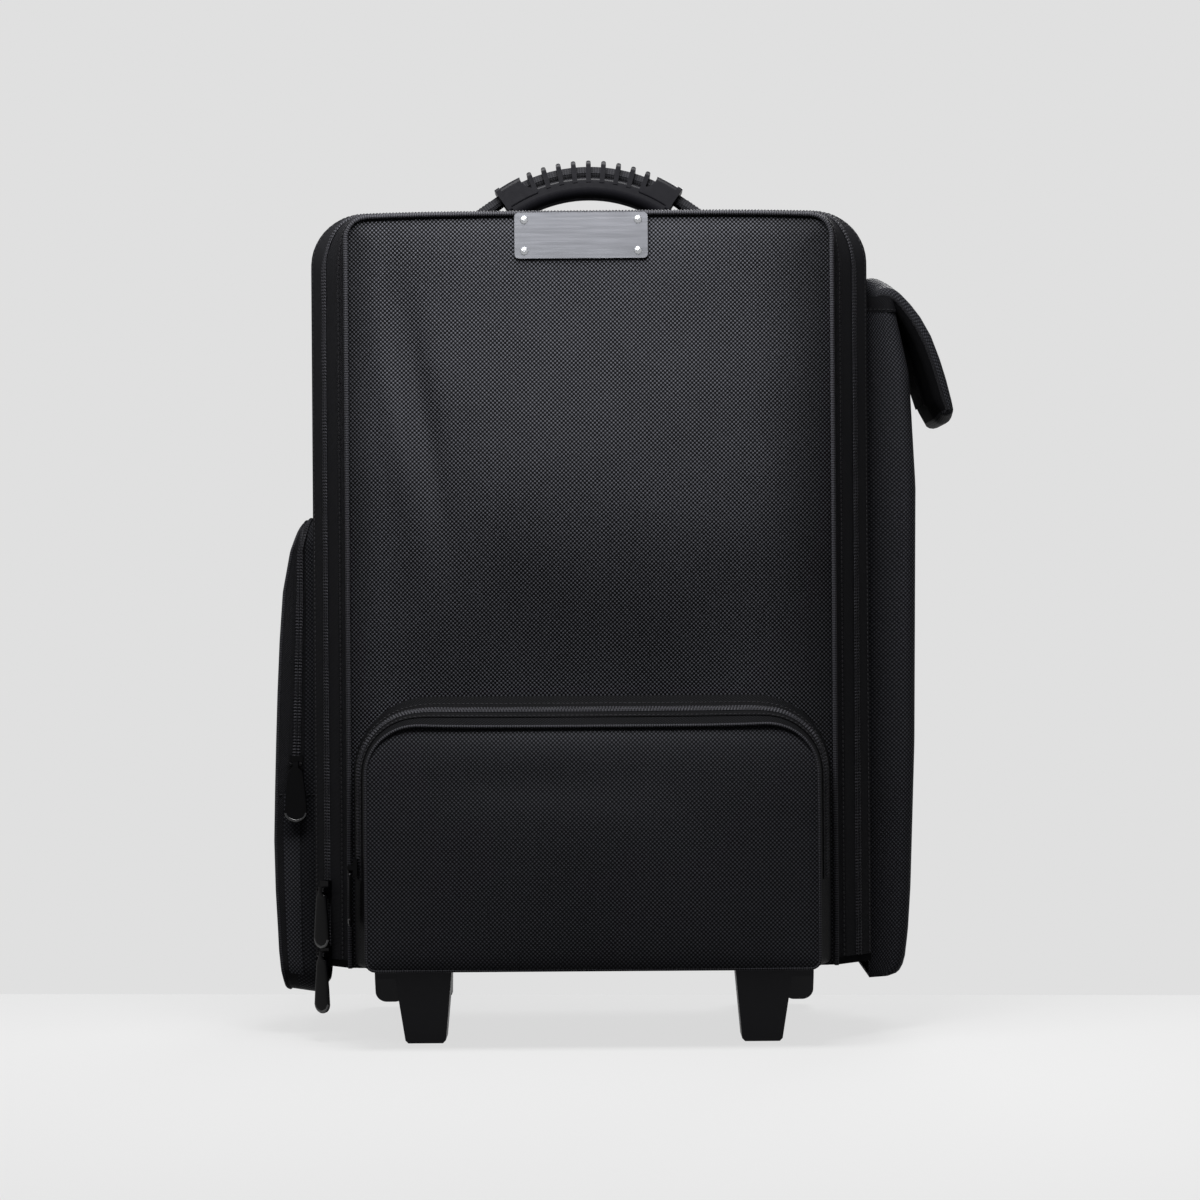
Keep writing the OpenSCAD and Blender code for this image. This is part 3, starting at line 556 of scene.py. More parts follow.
def dress(finish, *nodes):
    """Gives CAD nodes that stay their finish."""
    for name in nodes:
        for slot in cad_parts[name].material_slots:
            slot.material = finish_of(finish)


def smooth(low, high, x):
    """0 below low, 1 above high and a smooth rise between."""
    t = np.clip((x - low) / (high - low), 0, 1)
    return t * t * (3 - 2 * t)


# Outlines


def arch(width, top, radius, low, count):
    """Front outline of the case: up the left side, a quarter round, over the top, which falls with the fourth
    power towards its corners, and down the right side, in even steps."""
    half = width / 2
    turn = np.linspace(0, np.pi / 2, 16)
    corner = np.stack([-half + radius - radius * np.cos(turn), top - radius + radius * np.sin(turn)], axis=-1)
    left = np.concatenate([[[-half, low]], corner])
    path = resample(np.concatenate([left, left[::-1] * [-1, 1]]), count)
    path[:, 1] -= DROOP * (path[:, 0] / half) ** 4 * smooth(top - 150 * MM, top, path[:, 1])
    return path


def arch_at(width, top, radius, low, count, y):
    """The same outline as points in space at a depth y."""
    flat = arch(width, top, radius, low, count)
    return np.stack([flat[:, 0] + MID_X, np.broadcast_to(y, count), flat[:, 1]], axis=-1)


def gusset_path(share, count):
    """Line on the slanted front gusset, a share of the way from the body's edge to the panel's edge."""
    body = arch_at(BODY_W, TOP_Z, BODY_R, FLOOR_Z, count, ZIP_Y)
    panel = arch_at(PANEL_W, PANEL_TOP, PANEL_R, FLOOR_Z, count, PANEL_IN)
    return body + (panel - body) * share


def gusset_lift(count):
    """Outward unit normal of the gusset at each step of its lines."""
    across = gusset_path(1, count) - gusset_path(0, count)
    out = unit(np.cross(tangents(gusset_path(0.5, count)), across))
    return out * np.sign(out[0, 0] * -1)


def gusset_strip(shares, count, height, thick):
    """Strip of the gusset between the first and last share; height gives its relief at each share."""
    lift = gusset_lift(count)
    base = np.stack([gusset_path(s, count) for s in shares], axis=1)
    front = base + lift[:, None] * np.asarray(height)[None, :, None]
    return slab(front, front - lift[:, None] * thick)


def panel_grid(width, top, low, r_top, r_low, rows, cols, droop=DROOP):
    """Grid that fills a rounded front outline: each level is as wide as the outline is there; gives x, z, the
    distance to the outline, and both parameters."""
    t = np.linspace(0, 1, rows)
    z = low + (top - low) * (0.5 * t + 0.25 * (1 - np.cos(np.pi * t)))
    half = width / 2
    over = np.clip(z - (top - r_top), 0, r_top)
    under = np.clip(low + r_low - z, 0, r_low)
    wide = half - (r_top - np.sqrt(r_top ** 2 - over ** 2)) - (r_low - np.sqrt(r_low ** 2 - under ** 2))
    u = np.sin(np.linspace(-1, 1, cols) * np.pi / 2) * 0.4 + np.linspace(-1, 1, cols) * 0.6
    x = wide[:, None] * u[None]
    level = np.broadcast_to(z[:, None], x.shape)
    edge = np.minimum(np.minimum((1 - np.abs(u))[None] * wide[:, None], level - low), top - level)
    fall = droop * (x / half) ** 4 * smooth(top - 150 * MM, top, level)
    return x, level - fall, edge, np.broadcast_to(u[None], x.shape), (level - low) / (top - low)


def coil(path, lift, side, pitch):
    """One half of a coil zip: a half-round ridge whose height and reach swell once for each turn of the coil."""
    total = np.linalg.norm(np.diff(path, axis=0), axis=1).sum()
    count = int(total / pitch) * 4
    line, up = resample(path, count), unit(resample(lift, count))
    across = unit(np.cross(tangents(line), up)) * side
    swell = 0.5 - 0.5 * np.cos(np.arange(count) * (TAU / 4))
    turn = np.linspace(0, np.pi, 5)
    reach = (1.6 - 1.5 * np.cos(turn)) * MM
    height = np.sin(turn) * 1.3 * MM
    rings = (line[:, None] + across[:, None] * reach[None, :, None] * (0.9 + 0.1 * swell)[:, None, None]
             + up[:, None] * (height[None] * (0.45 + 0.55 * swell)[:, None])[..., None])
    return loft(rings)


# Pieces


def build_body():
    """Sides and top as one band, the padded back, its edge cord and a row of stitches, the base and the boards inside.
    """
    rows, cols = 260, 22
    y = np.linspace(ZIP_Y, BACK_LO[1], cols)
    swell = 1.2 * MM * np.sin(np.pi * np.linspace(0, 1, cols))
    outer = np.stack([arch_at(BODY_W, TOP_Z, BODY_R, FLOOR_Z, rows, k) for k in y], axis=1)
    side = np.sign(outer[..., 0] - MID_X) * smooth(150 * MM, 190 * MM, np.abs(outer[..., 0] - MID_X))
    outer[..., 0] += side * swell[None]
    inner = np.stack([arch_at(BODY_W - 2 * SHELL, TOP_Z - SHELL, BODY_R - SHELL, FLOOR_Z, rows, k) for k in y], axis=1)
    piece("body_band_cloth", slab(outer, inner, (0, 1)), ("side_cloth", "lining"), "case",
          ("body_band",))
    x, z, edge, _, _ = panel_grid(BODY_W, TOP_Z, BASE_Z, BODY_R, FOOT_R, 90, 70)
    puff = 2.2 * MM * (1 - np.exp(-edge / (14 * MM)))
    back = np.stack([x + MID_X, BACK_HI[1] - 1.2 * MM + puff, z], axis=-1)
    front = np.stack([x + MID_X, np.full_like(x, BACK_LO[1]), z], axis=-1)
    pad = piece("back_panel_cloth", slab(back, front, (0, 1), np.stack([x, z], axis=-1)), ("side_cloth", "lining"),
                "case", ("back_panel",))
    line = arch_at(BODY_W - 2 * MM, TOP_Z - 1 * MM, BODY_R, BASE_Z, 260, BACK_HI[1] - 1.0 * MM)
    piece("back_edge_cord", cord(line, (0, 1, 0), look().piping), ("piping",), "case", ("back_piping",))
    seam = arch_at(BODY_W - 20 * MM, TOP_Z - 10 * MM, BODY_R - 6 * MM, BASE_Z + 8 * MM, 260, BACK_HI[1] + 0.45 * MM)
    piece("back_stitches", stitches(seam, (0, 1, 0), look().stitch), ("thread",), "case")
    dress("lining", "trolley_cover")
    dress("board", "base_panel")


def build_main_zip():
    """Zip tapes, both rows of coil and the plain gusset strip beside them."""
    count = 280
    share = (ZIP_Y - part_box("zip_tape_panel")[1][1]) / (ZIP_Y - PANEL_IN)
    flat = np.linspace(0, 1, 5)
    tape_body = gusset_strip(flat * (share - 0.01), count, np.full(5, 0.2 * MM), 1.2 * MM)
    piece("zip_tape_case", tape_body, ("tape",), "case", ("zip_tape_body",))
    tape_panel = gusset_strip(share + 0.01 + flat * (share - 0.01), count, np.full(5, 0.2 * MM), 1.2 * MM)
    piece("zip_tape_front", tape_panel, ("tape",), "front_panel", ("zip_tape_panel",))
    ribs = 2 * share + np.linspace(0, 1, 9) * (1 - 2 * share)
    dip = -1.4 * MM * np.sin(np.pi * np.linspace(0, 1, 9))
    strip = piece("gusset_strip", gusset_strip(ribs, count, dip, 1.5 * MM), ("plain",), "front_panel",
                  ("panel_gusset",))
    lift = gusset_lift(count)
    chain = gusset_path(share, count) + lift * 0.2 * MM
    for side, body in ((-1, "case"), (1, "front_panel")):
        piece("zip_coil_" + body, coil(chain, lift, side, look().tooth), ("coil",), body)
    for s, body in ((0.05, "case"), (2 * share + 0.06, "front_panel")):
        piece("zip_stitches_" + body, stitches(gusset_path(s, count) + lift * 0.3 * MM, lift, look().stitch),
              ("thread",), body)


def dent(x, z, at, size, depth):
    """Soft round hollow: a Gaussian of two radii."""
    return depth * np.exp(-((x - at[0]) / size[0]) ** 2 - ((z - at[1]) / size[1]) ** 2)


def build_front_panel():
    """Crowned front panel with soft hollows, its edge cord and the riveted plate."""
    x, z, edge, u, _ = panel_grid(PANEL_W, PANEL_TOP, BASE_Z, PANEL_R, FOOT_R, 150, 110)
    free = smooth(215 * MM, 360 * MM, z) * (1 - smooth(360 * MM, 535 * MM, z))
    rise = look().crown * (1 - np.abs(u) ** 3) * free - EDGE_RECESS * np.exp(-edge / (13 * MM))
    lean = x + 0.16 * (z - 430 * MM)
    rise -= dent(lean, z, (-114 * MM, 430 * MM), (10 * MM, 72 * MM), 6 * MM) * smooth(0, 20 * MM, edge)
    rise += dent(lean, z, (-134 * MM, 420 * MM), (10 * MM, 75 * MM), 2.6 * MM) * smooth(0, 20 * MM, edge)
    rise += 0.5 * MM * np.sin(x * 46) * np.sin(z * 31) * smooth(0, 40 * MM, edge) * free
    front = np.stack([x + MID_X, PANEL_OUT - rise, z], axis=-1)
    back = np.stack([x + MID_X, np.full_like(x, PANEL_IN), z], axis=-1)
    pad = piece("front_panel_cloth", slab(front, back, (0, 1), np.stack([x, z], axis=-1)), ("cloth", "lining"),
                "front_panel", ("front_panel_face",))
    line = arch_at(PANEL_W - 1 * MM, PANEL_TOP - 0.5 * MM, PANEL_R, BASE_Z, 300, PANEL_OUT + 1.6 * MM)
    piece("front_edge_cord", cord(line, (0, 1, 0), look().piping), ("piping",), "front_panel",
          ("panel_piping",))
    dress("plate", "name_plate")
    dress("rivet", "plate_rivets")


def rounded_loop(width, low, top, r_top, r_low, count):
    """Closed outline with round corners, from the middle of its foot up the left side and back, in even steps."""
    half = width / 2
    turn = np.linspace(0, np.pi / 2, 14)
    foot = np.stack([-half + r_low - r_low * np.sin(turn), low + r_low - r_low * np.cos(turn)], axis=-1)
    head = np.stack([-half + r_top - r_top * np.cos(turn), top - r_top + r_top * np.sin(turn)], axis=-1)
    left = np.concatenate([[[0, low]], foot, head, [[0, top]]])
    return resample(np.concatenate([left, left[::-1][1:] * [-1, 1]]), count + 1)[:-1]


class Wall:
    """Gusset between the closed loop of a pocket's base and that of its face."""

    def __init__(self, base, face):
        self.base, self.face = base, face
        centre = base.mean(axis=0)
        out = unit(np.cross(tangents((base + face) / 2, True), face - base))
        self.lift = out * np.sign(np.sum(out * (base - centre), axis=1).sum())

    def line(self, share, up=0.0):
        """Loop at a share of the way from base to face, lifted off the wall."""
        share = np.broadcast_to(share, len(self.base))[:, None]
        return self.base + (self.face - self.base) * share + self.lift * up

    def band(self, low, high):
        """Closed strip around the wall between two shares."""
        front = np.stack([self.line(low + (high - low) * t) for t in np.linspace(0, 1, 7)], axis=1)
        back = front - self.lift[:, None] * WALL_CLOTH
        return loft(np.concatenate([front, back[:, ::-1]], axis=1), True)

    def part(self, share, up, keep):
        """Open run of a line, where keep holds, with the wall's normals."""
        return self.line(share, up)[keep], self.lift[keep]


def build_front_pocket():
    """Front pocket: woven wall, zip around its upper part, crowned face with its edge cord."""
    count = 400
    base = rounded_loop(FP_HI[0] - FP_LO[0], FP_LO[2], FP_HI[2], FRONT_BASE_R, FOOT_R, count)
    face = rounded_loop(FRONT_FACE_W, FP_LO[2] + 1 * MM, FRONT_FACE_TOP, FRONT_FACE_R, FOOT_R, count)
    droop = -3 * MM
    ramp = smooth(FRONT_FACE_TOP - 150 * MM, FRONT_FACE_TOP, face[:, 1])
    face[:, 1] -= droop * (face[:, 0] / (FRONT_FACE_W / 2)) ** 4 * ramp
    at = [np.stack([p[:, 0] + MID_X, np.full(count, y), p[:, 1]], axis=-1)
          for p, y in ((base, PANEL_OUT + 0.5 * MM), (face, FP_LO[1] + 2 * MM))]
    wall = Wall(*at)
    slit = 0.01 * smooth(FP_FOLD - 6 * MM, FP_FOLD + 6 * MM, wall.base[:, 2])
    piece("front_pocket_wall", wall.band(0.0, 0.5 - slit), ("strip",), "front_panel",
          ("front_pocket", "front_pocket_zip_inner"))
    outer = piece("front_pocket_rim", wall.band(0.5 + slit, 1.0), ("strip",), None,
                  ("front_pocket_zip_outer",))
    x, z, edge, u, v = panel_grid(FRONT_FACE_W, FRONT_FACE_TOP, FP_LO[2] + 1 * MM, FRONT_FACE_R, FOOT_R, 90, 90,
                                  droop)
    puff = 4.5 * MM * (1 - np.abs(u) ** 2.5) * np.sin(np.pi * np.clip(v, 0, 1)) ** 0.6
    puff -= 3.2 * MM * np.exp((z - FRONT_FACE_TOP - 1 * MM) / (16 * MM))
    puff -= 1.5 * MM * np.exp(-edge / (5 * MM)) + dent(x, z, (-30 * MM, 178 * MM), (70 * MM, 16 * MM), 1.5 * MM)
    front = np.stack([x + MID_X, FP_LO[1] - puff, z], axis=-1)
    back = np.stack([x + MID_X, FP_LO[1] - np.minimum(puff, 0) + FACE_PAD, z], axis=-1)
    cover = piece("front_pocket_face", slab(front, back, (0, 1), np.stack([x, z], axis=-1)),
                  ("pocket_cloth", "lining"), None, ("front_pocket_flap",))
    welt = piece("front_pocket_cord", cord(wall.line(1.0), (0, 1, 0), look().piping * 0.7, True), ("piping",), None)
    for obj in (outer, cover, welt):
        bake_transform(obj)
    keep = wall.base[:, 2] > FP_FOLD + 2 * MM
    for side, body, low, high in ((-1, "front_panel", 0.28, 0.49), (1, "front_flap", 0.51, 0.72)):
        line, lift = wall.part(0.5, COIL_LIFT, keep)
        piece("front_zip_coil_" + body, coil(line, lift, side, look().tooth), ("coil",), body)
        strip = np.stack([wall.part(s, TAPE_LIFT, keep)[0] for s in np.linspace(low, high, 5)], axis=1)
        piece("front_zip_tape_" + body, slab(strip, strip - lift[:, None] * TAPE), ("dark_tape",), body)
        seam, lift = wall.part(low + 0.03 if low < 0.5 else high - 0.03, COIL_LIFT, keep)
        piece("front_zip_seam_" + body, stitches(seam, lift, look().stitch), ("thread",), body)


def side_loop(width, low, top, r, reach, mid):
    """Left pocket's outline turned to face sideways; reach gives its stand-out from the case at each level."""
    flat = rounded_loop(width, low, top, r, r, 360)
    return np.stack([BAND_LO[0] - reach(flat[:, 1]), mid + flat[:, 0], flat[:, 1]], axis=-1)


def left_reach(z):
    """Stand-out of the left pocket's face by height: steep at the foot, fullest low down, thin at the top."""
    level = np.array([28, 33, 45, 59, 73, 100, 135, 170, 204, 238, 273, 307, 335, 349, 360]) * MM
    reach = np.array([19, 23.5, 25.8, 27.2, 27.8, 29.2, 30, 29.2, 28.2, 27, 25.3, 22.8, 17.5, 12.5, 7]) * MM
    return np.interp(z, level, reach)


def build_left_pocket():
    """Left pocket: wall with a zip round its upper half, and a full face."""
    mid = (LP_LO[1] + LP_HI[1]) / 2
    low, top = LP_LO[2] + 3 * MM, LP_HI[2] - 5 * MM
    base = side_loop(LP_HI[1] - LP_LO[1], LP_LO[2], LP_HI[2], LEFT_BASE_R, np.zeros_like, mid)
    face = side_loop(LEFT_FACE_W, low, top, LEFT_FACE_R, left_reach, mid)
    wall = Wall(base, face)
    along = np.interp(base[:, 2], [LP_FOLD, LP_HI[2]], [15 * MM, 10 * MM])
    share = np.minimum(along / left_reach(base[:, 2]), 0.62)
    slit = 0.015 * smooth(LP_FOLD - 6 * MM, LP_FOLD + 6 * MM, base[:, 2])
    piece("left_pocket_wall", wall.band(0.0, share - slit), ("side_cloth",), "case",
          ("left_pocket", "left_pocket_zip_inner"))
    rim = piece("left_pocket_rim", wall.band(share + slit, 1.0), ("plain",), None,
                ("left_pocket_zip_outer",))
    y, z, edge, _, _ = panel_grid(LEFT_FACE_W, top, low, LEFT_FACE_R, LEFT_FACE_R, 90, 50, 0.0)
    out = left_reach(z) + 1.5 * MM * (1 - np.exp(-edge / (8 * MM)))
    front = np.stack([BAND_LO[0] - out, mid + y, z], axis=-1)
    back = np.stack([BAND_LO[0] - out + FACE_PAD, mid + y, z], axis=-1)
    cover = piece("left_pocket_face", slab(front, back, (0, 1), np.stack([y, z], axis=-1)), ("plain", "lining"),
                  None, ("left_pocket_flap",))
    welt = piece("left_pocket_cord", cord(wall.line(0.99), (1, 0, 0), 1.1 * MM, True), ("piping",), None)
    for obj in (rim, cover, welt):
        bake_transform(obj)
    keep = base[:, 2] > LP_FOLD + 2 * MM
    for side, body, shift in ((1, "case", -0.13), (-1, "left_flap", 0.13)):
        line, lift = wall.part(share, COIL_LIFT, keep)
        piece("left_zip_coil_" + body, coil(line, lift, side, look().tooth), ("coil",), body)
        strip = np.stack([wall.part(share + shift * t, TAPE_LIFT, keep)[0] for t in np.linspace(0.1, 1.4, 5)], axis=1)
        piece("left_zip_tape_" + body, slab(strip, strip - lift[:, None] * TAPE), ("tape",), body)
    near = (base[:, 1] < mid - 30 * MM) & (base[:, 2] < LP_FOLD - 12 * MM) & (base[:, 2] > LP_LO[2] + 12 * MM)
    strip = np.stack([wall.part(s, 1.0 * MM, near)[0] for s in np.linspace(0.42, 0.8, 5)], axis=1)
    piece("left_pocket_strip", slab(strip, strip - wall.lift[near][:, None] * 0.8 * MM), ("bag_cloth",), "case")
    row = np.flatnonzero(near)[-1]
    seam = np.stack([wall.line(s, 0.4 * MM)[row] for s in np.linspace(0.06, 0.94, 12)])
    piece("left_pocket_seam", stitches(seam, wall.lift[row], look().stitch), ("thread",), "case")


def right_reach(z):
    """Stand-out of the right pocket by height: closed at the foot, full in the middle, drawn in at the mouth."""
    level = np.array([38, 38.3, 40, 43, 50, 70, 100, 200, 378, 455, 508]) * MM
    return np.interp(z, level, np.array([0.4, 15, 20, 23.5, 26, 28.5, 30.5, 34, 36, 32, 20.5]) * MM)


def pouch(z, reach, width):
    """Plan of the right pocket at each level: out from the case, round a corner, along the face and back."""
    reach, z = np.broadcast_arrays(np.asarray(reach, float)[:, None], np.asarray(z, float)[:, None])
    r = np.minimum(POUCH_R, reach)
    half = width / 2 - POUCH_TAPER * reach
    t = np.linspace(0, 1, 12)[None]
    turn = t * np.pi / 2
    side = [(reach - r) * t, -width / 2 + (width / 2 - half) * t]
    bend = [reach - r + r * np.sin(turn), -half + r * (1 - np.cos(turn))]
    run = np.linspace(-1, 1, 25)[None]
    across = (half - r) * run
    face = [reach + 2.5 * MM * (1 - run ** 2) * smooth(0, 30 * MM, reach), across]
    x = np.concatenate([side[0], bend[0][:, 1:], face[0][:, 1:-1], bend[0][:, :0:-1], side[0][:, ::-1]], axis=1)
    y = np.concatenate([side[1], bend[1][:, 1:], face[1][:, 1:-1], -bend[1][:, :0:-1], -side[1][:, ::-1]], axis=1)
    mid = (RP_LO[1] + RP_HI[1]) / 2
    return np.stack([RP_LO[0] + x, mid + y, np.broadcast_to(z, x.shape)], axis=-1)


def flap_ring(top, under):
    """Closed outline of the flap from its upper line, a blunt round tip and its under line; also its middle line."""
    top, under = resample(top, 40), resample(under, 40)
    blunt = np.linspace(0, np.pi, 8)[1:-1]
    end_mid, end_half = (top[-1] + under[-1]) / 2, (top[-1] - under[-1]) / 2
    forward = unit(top[-1] - top[-4]) * np.linalg.norm(end_half)
    tip = end_mid + np.cos(blunt)[:, None] * end_half + np.sin(blunt)[:, None] * forward * 0.8
    middle = (top + under) / 2
    ring = np.concatenate([top, tip, under[::-1]])
    return ring, np.concatenate([middle, np.tile(end_mid, (len(tip), 1)), middle[::-1]])


def build_right_pocket():
    """Right pocket with an open, bound mouth, and the padded flap over it."""
    z = np.concatenate([[38, 38.3, 39, 40, 42, 46], np.linspace(52, 508, 70)]) * MM
    width = RP_HI[1] - RP_LO[1]
    front = pouch(z, right_reach(z), width)
    inner = np.maximum(right_reach(z) - 2.2 * MM, 0.2 * MM)
    back = pouch(z + 2 * MM * (1 - smooth(40 * MM, 60 * MM, z)), inner, width - 4 * MM)
    bag = piece("right_pocket_cloth", slab(front, back, (0, 1)), ("bag_cloth", "lining"), "case",
                ("right_pocket",))
    level = np.linspace(498, 508.6, 6) * MM
    grow = 0.8 * MM * np.sin(np.linspace(0.3, 1, 6) * np.pi * 0.9) + 0.3 * MM
    hem = slab(pouch(level, right_reach(level) + grow, width + 1 * MM),
               pouch(level, right_reach(level) - 3.2 * MM, width - 5 * MM))
    piece("right_pocket_hem", hem, ("plain",), "case")
    seam = pouch(np.array([499.5 * MM]), right_reach(np.array([499.5 * MM])) + 1.0 * MM, width + 1 * MM)[0]
    lift = unit(seam - seam.mean(axis=0) + [0.001, 0, 0]) * [1, 1, 0]
    piece("right_pocket_stitches", stitches(resample(seam, 200), resample(lift, 200), look().stitch), ("thread",),
          "case")
    top = np.array([[0.6, 8], [1.6, 13.5], [3.5, 15.6], [7, 16.6], [12, 15.8], [19.5, 11.6], [27.5, 3.5], [36.8, -8],
                    [47, -26], [53, -42], [57.3, -56], [61.8, -74], [63, -80]]) * MM
    under = np.array([[0.6, 3], [2, 0.6], [4, 1.4], [8, 4.6], [12, 5], [17, 2], [22, -8], [30, -28], [36, -44],
                      [41, -60], [45.5, -74], [50.5, -83]]) * MM
    top_edge = np.array([[6, -1], [7.5, 3], [10.5, 5.8], [15.6, 7.3], [21, 6.6], [26, 3.2], [33.6, -5], [40, -13.5],
                         [47, -26], [53, -42], [57.3, -56], [61.3, -72], [62.2, -77]]) * MM
    under_edge = np.array([[7, -2], [10, -2.4], [14, -3], [18.5, -5.5], [23, -11], [29, -20], [36, -33], [41.5, -47],
                           [45.5, -60], [49, -72], [53, -79]]) * MM
    (ring, core), (edge_ring, edge_core) = [flap_ring(*pair) for pair in ((top, under), (top_edge, under_edge))]
    half = (FLAP_HI[1] - FLAP_LO[1]) / 2
    across = np.sin(np.linspace(-1, 1, 49) * np.pi / 2)
    pinch = smooth(0.5, 1.0, np.abs(across))[:, None, None]
    full = np.clip(1 - (np.maximum(np.abs(across) * half - (half - 5 * MM), 0) / (5 * MM)) ** 2, 0.001, 1) ** 0.5
    middle = core + (edge_core - core) * pinch
    plan = middle + (ring + (edge_ring - ring) * pinch - middle) * full[:, None, None]
    mid = (FLAP_LO[1] + FLAP_HI[1]) / 2
    rings = np.stack([RP_LO[0] + plan[..., 0], np.broadcast_to((mid + across * half)[:, None], plan.shape[:2]),
                      RP_HI[2] + plan[..., 1]], axis=-1)
    pad = loft(rings)
    faces, coords, _ = pad.parts[0]
    lined = np.arange(len(faces)) % len(ring) >= 46
    pad.parts[:1] = [(faces[~lined], coords[~lined], 0), (faces[lined], coords[lined], 1)]
    flap = piece("right_flap_pad", pad, ("side_cloth", "hook"), "right_flap", ("right_flap",))
    for sign in (-1, 1):
        run = np.stack([RP_LO[0] + edge_core[2:40, 0], np.full(38, mid + sign * (half - 0.5 * MM)),
                        RP_HI[2] + edge_core[2:40, 1]], axis=-1)
        piece("right_flap_binding_" + ("front", "back")[sign > 0], cord(run, (0, 1, 0), 1.2 * MM), ("plain",),
              "right_flap")
    dress("hook", "hook_patch")
    dress("loop", "loop_patch")


def build_handle():
    """Ribbed grip, the strap that runs through it, its stitched tails and the patches under them."""
    grip_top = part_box("handle_grip")[1][2]
    strap_lo, strap_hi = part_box("handle_webbing")
    mid_y = (strap_lo[1] + strap_hi[1]) / 2
    radius = strap_hi[2] - (grip_top - 116 * MM) - STRAP / 2
    centre = strap_hi[2] - STRAP / 2 - radius
    end = math.radians(35)
    turn = np.linspace(-end, end, 80)
    bow = np.stack([np.sin(turn) * radius, np.cos(turn) * radius + centre], axis=-1)
    fall = (bow[-1, 1] - strap_lo[2] - 0.8 * MM) / math.sin(end)
    tail = bow[-1] + np.linspace(0.05, 1, 16)[:, None] * fall * np.array([math.cos(end), -math.sin(end)])
    flat = np.concatenate([tail[::-1] * [-1, 1], bow, tail])
    path = np.stack([flat[:, 0] + MID_X, np.full(len(flat), mid_y), flat[:, 1]], axis=-1)
    across = (strap_hi[1] - strap_lo[1]) / 2
    fan = np.sin(np.linspace(-1, 1, 26) * np.pi / 2)
    y = np.concatenate([fan, fan[::-1] * 0.92]) * across
    skin = np.repeat([STRAP / 2, -STRAP / 2], 26)
    along = np.abs(np.linspace(-1, 1, len(path)))
    droop = 4.4 * MM * (1 - 0.8 * smooth(0.8, 1, along))
    lift = unit(np.cross(tangents(path), [0, 1, 0]))
    lift *= np.sign(lift[:, 2:])
    radial = skin[None] - droop[:, None] * smooth(0.84, 1, np.abs(np.concatenate([fan, fan[::-1]])))[None]
    rings = path[:, None] + lift[:, None] * radial[..., None] + (y[:, None] * [0, 1, 0])[None]
    strap = piece("handle_strap", loft(rings), ("webbing",), None, ("handle_webbing",))
    rows = []
    for sign in (-1, 1):
        run = path[-13:-3] if sign > 0 else path[3:13]
        for y in (-8.5 * MM, 8.5 * MM):
            up = unit(np.array([sign * math.sin(end), 0, math.cos(end)]))
            rows.append(stitches(run + [0, y, 0] + up * STRAP * 0.5, up, look().stitch * 0.8))
    seams = piece("handle_stitches", merged(rows), ("thread",), None)
    for obj in (strap, seams):
        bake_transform(obj)
    dress("grip", "handle_grip")
    dress("plastic", "handle_anchors")


# Direction across each zip pull's tab
PULLS = {
    "main_puller_upper": (-0.6794, 0.7338, 0.0),
    "main_puller_lower": (-0.6794, 0.7338, 0.0),
    "front_puller": (0.0, 1.0, 0.0),
    "left_puller": (1.0, 0.0, 0.0),
}


def build_pulls():
    """Zip pulls: rounded tabs that widen from a slim neck to a blunt end with a glossy lip, lighter than the tab as a
    painted highlight, on the CAD sliders.
    """
    up = np.array([0, 0, 1.0])
    steps, lip_steps, lip_r = 40, 6, 1.15 * MM
    for name, axis in PULLS.items():
        lo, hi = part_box(name)
        pivot = np.array([(lo[0] + hi[0]) / 2, (lo[1] + hi[1]) / 2, hi[2] - 2 * MM])
        axis = np.array(axis)
        out = np.cross(axis, up)
        t = np.linspace(0, 1, steps)
        drop = 2.0 * MM - t * (hi[2] - lo[2])
        half = np.interp(t, [0, 0.1, 0.16, 0.3, 0.6, 0.85, 1], np.array([2.2, 2.3, 5.2, 5.8, 7.2, 8, 7.6]) * MM)
        half = half * np.sqrt(np.clip(1 - (np.maximum(t - 0.84, 0) / 0.163) ** 2.6, 0.02, 1))
        depth = np.interp(t, [0, 0.08, 0.2, 0.5, 0.9, 1], np.array([1.4, 1.9, 1.1, 0.95, 0.95, 0.7]) * MM)
        turn = np.arange(20) * (TAU / 20)
        ring = np.stack([np.sign(np.cos(turn)) * np.abs(np.cos(turn)) ** 0.45,
                         np.sign(np.sin(turn)) * np.abs(np.sin(turn)) ** 0.4], axis=-1)
        rings = (pivot + axis * (ring[None, :, :1] * half[:, None, None])
                 + out * (ring[None, :, 1:] * depth[:, None, None]) + up * drop[:, None, None])
        piece(name + "_tab", loft(rings), ("enamel",), name, (name,))
        # Lip along the tab's blunt end: a painted highlight in a lighter, glossier finish.
        wide, low = half[-lip_steps:] - 0.9 * MM, drop[-lip_steps:] + 1.1 * MM
        lip = (pivot + axis * np.concatenate([-wide, wide[::-1]])[:, None]
               + up * np.concatenate([low, low[::-1]])[:, None])
        piece(name + "_lip", cord(lip, out, lip_r), ("lip",), name)
    dress("enamel", "main_slider_upper", "main_slider_lower", "front_slider", "left_slider")


def build_running_gear():
    """Feet, wheels, housings, axles and screws keep their CAD shapes and get their finishes."""
    dress("plastic", "foot_left", "foot_right", "wheel_housing_left", "wheel_housing_right", "wheel_hub_left",
          "wheel_hub_right")
    dress("tyre", "wheel_tyre_left", "wheel_tyre_right")
    dress("steel", "axle_left", "axle_right", "housing_screws", "foot_screws")


def build_trolley():
    """Trolley tubes, bezel, grip, button and lock keep their CAD shapes and get their finishes."""
    dress("tube", "outer_tube_left", "outer_tube_right", "inner_tube_left", "inner_tube_right", "release_rods")
    dress("plastic", "trolley_bezel", "trolley_base", "tube_plugs")
    dress("grip", "trolley_grip")
    dress("button", "trolley_button")
    dress("steel", "lock_pin_left", "lock_pin_right")


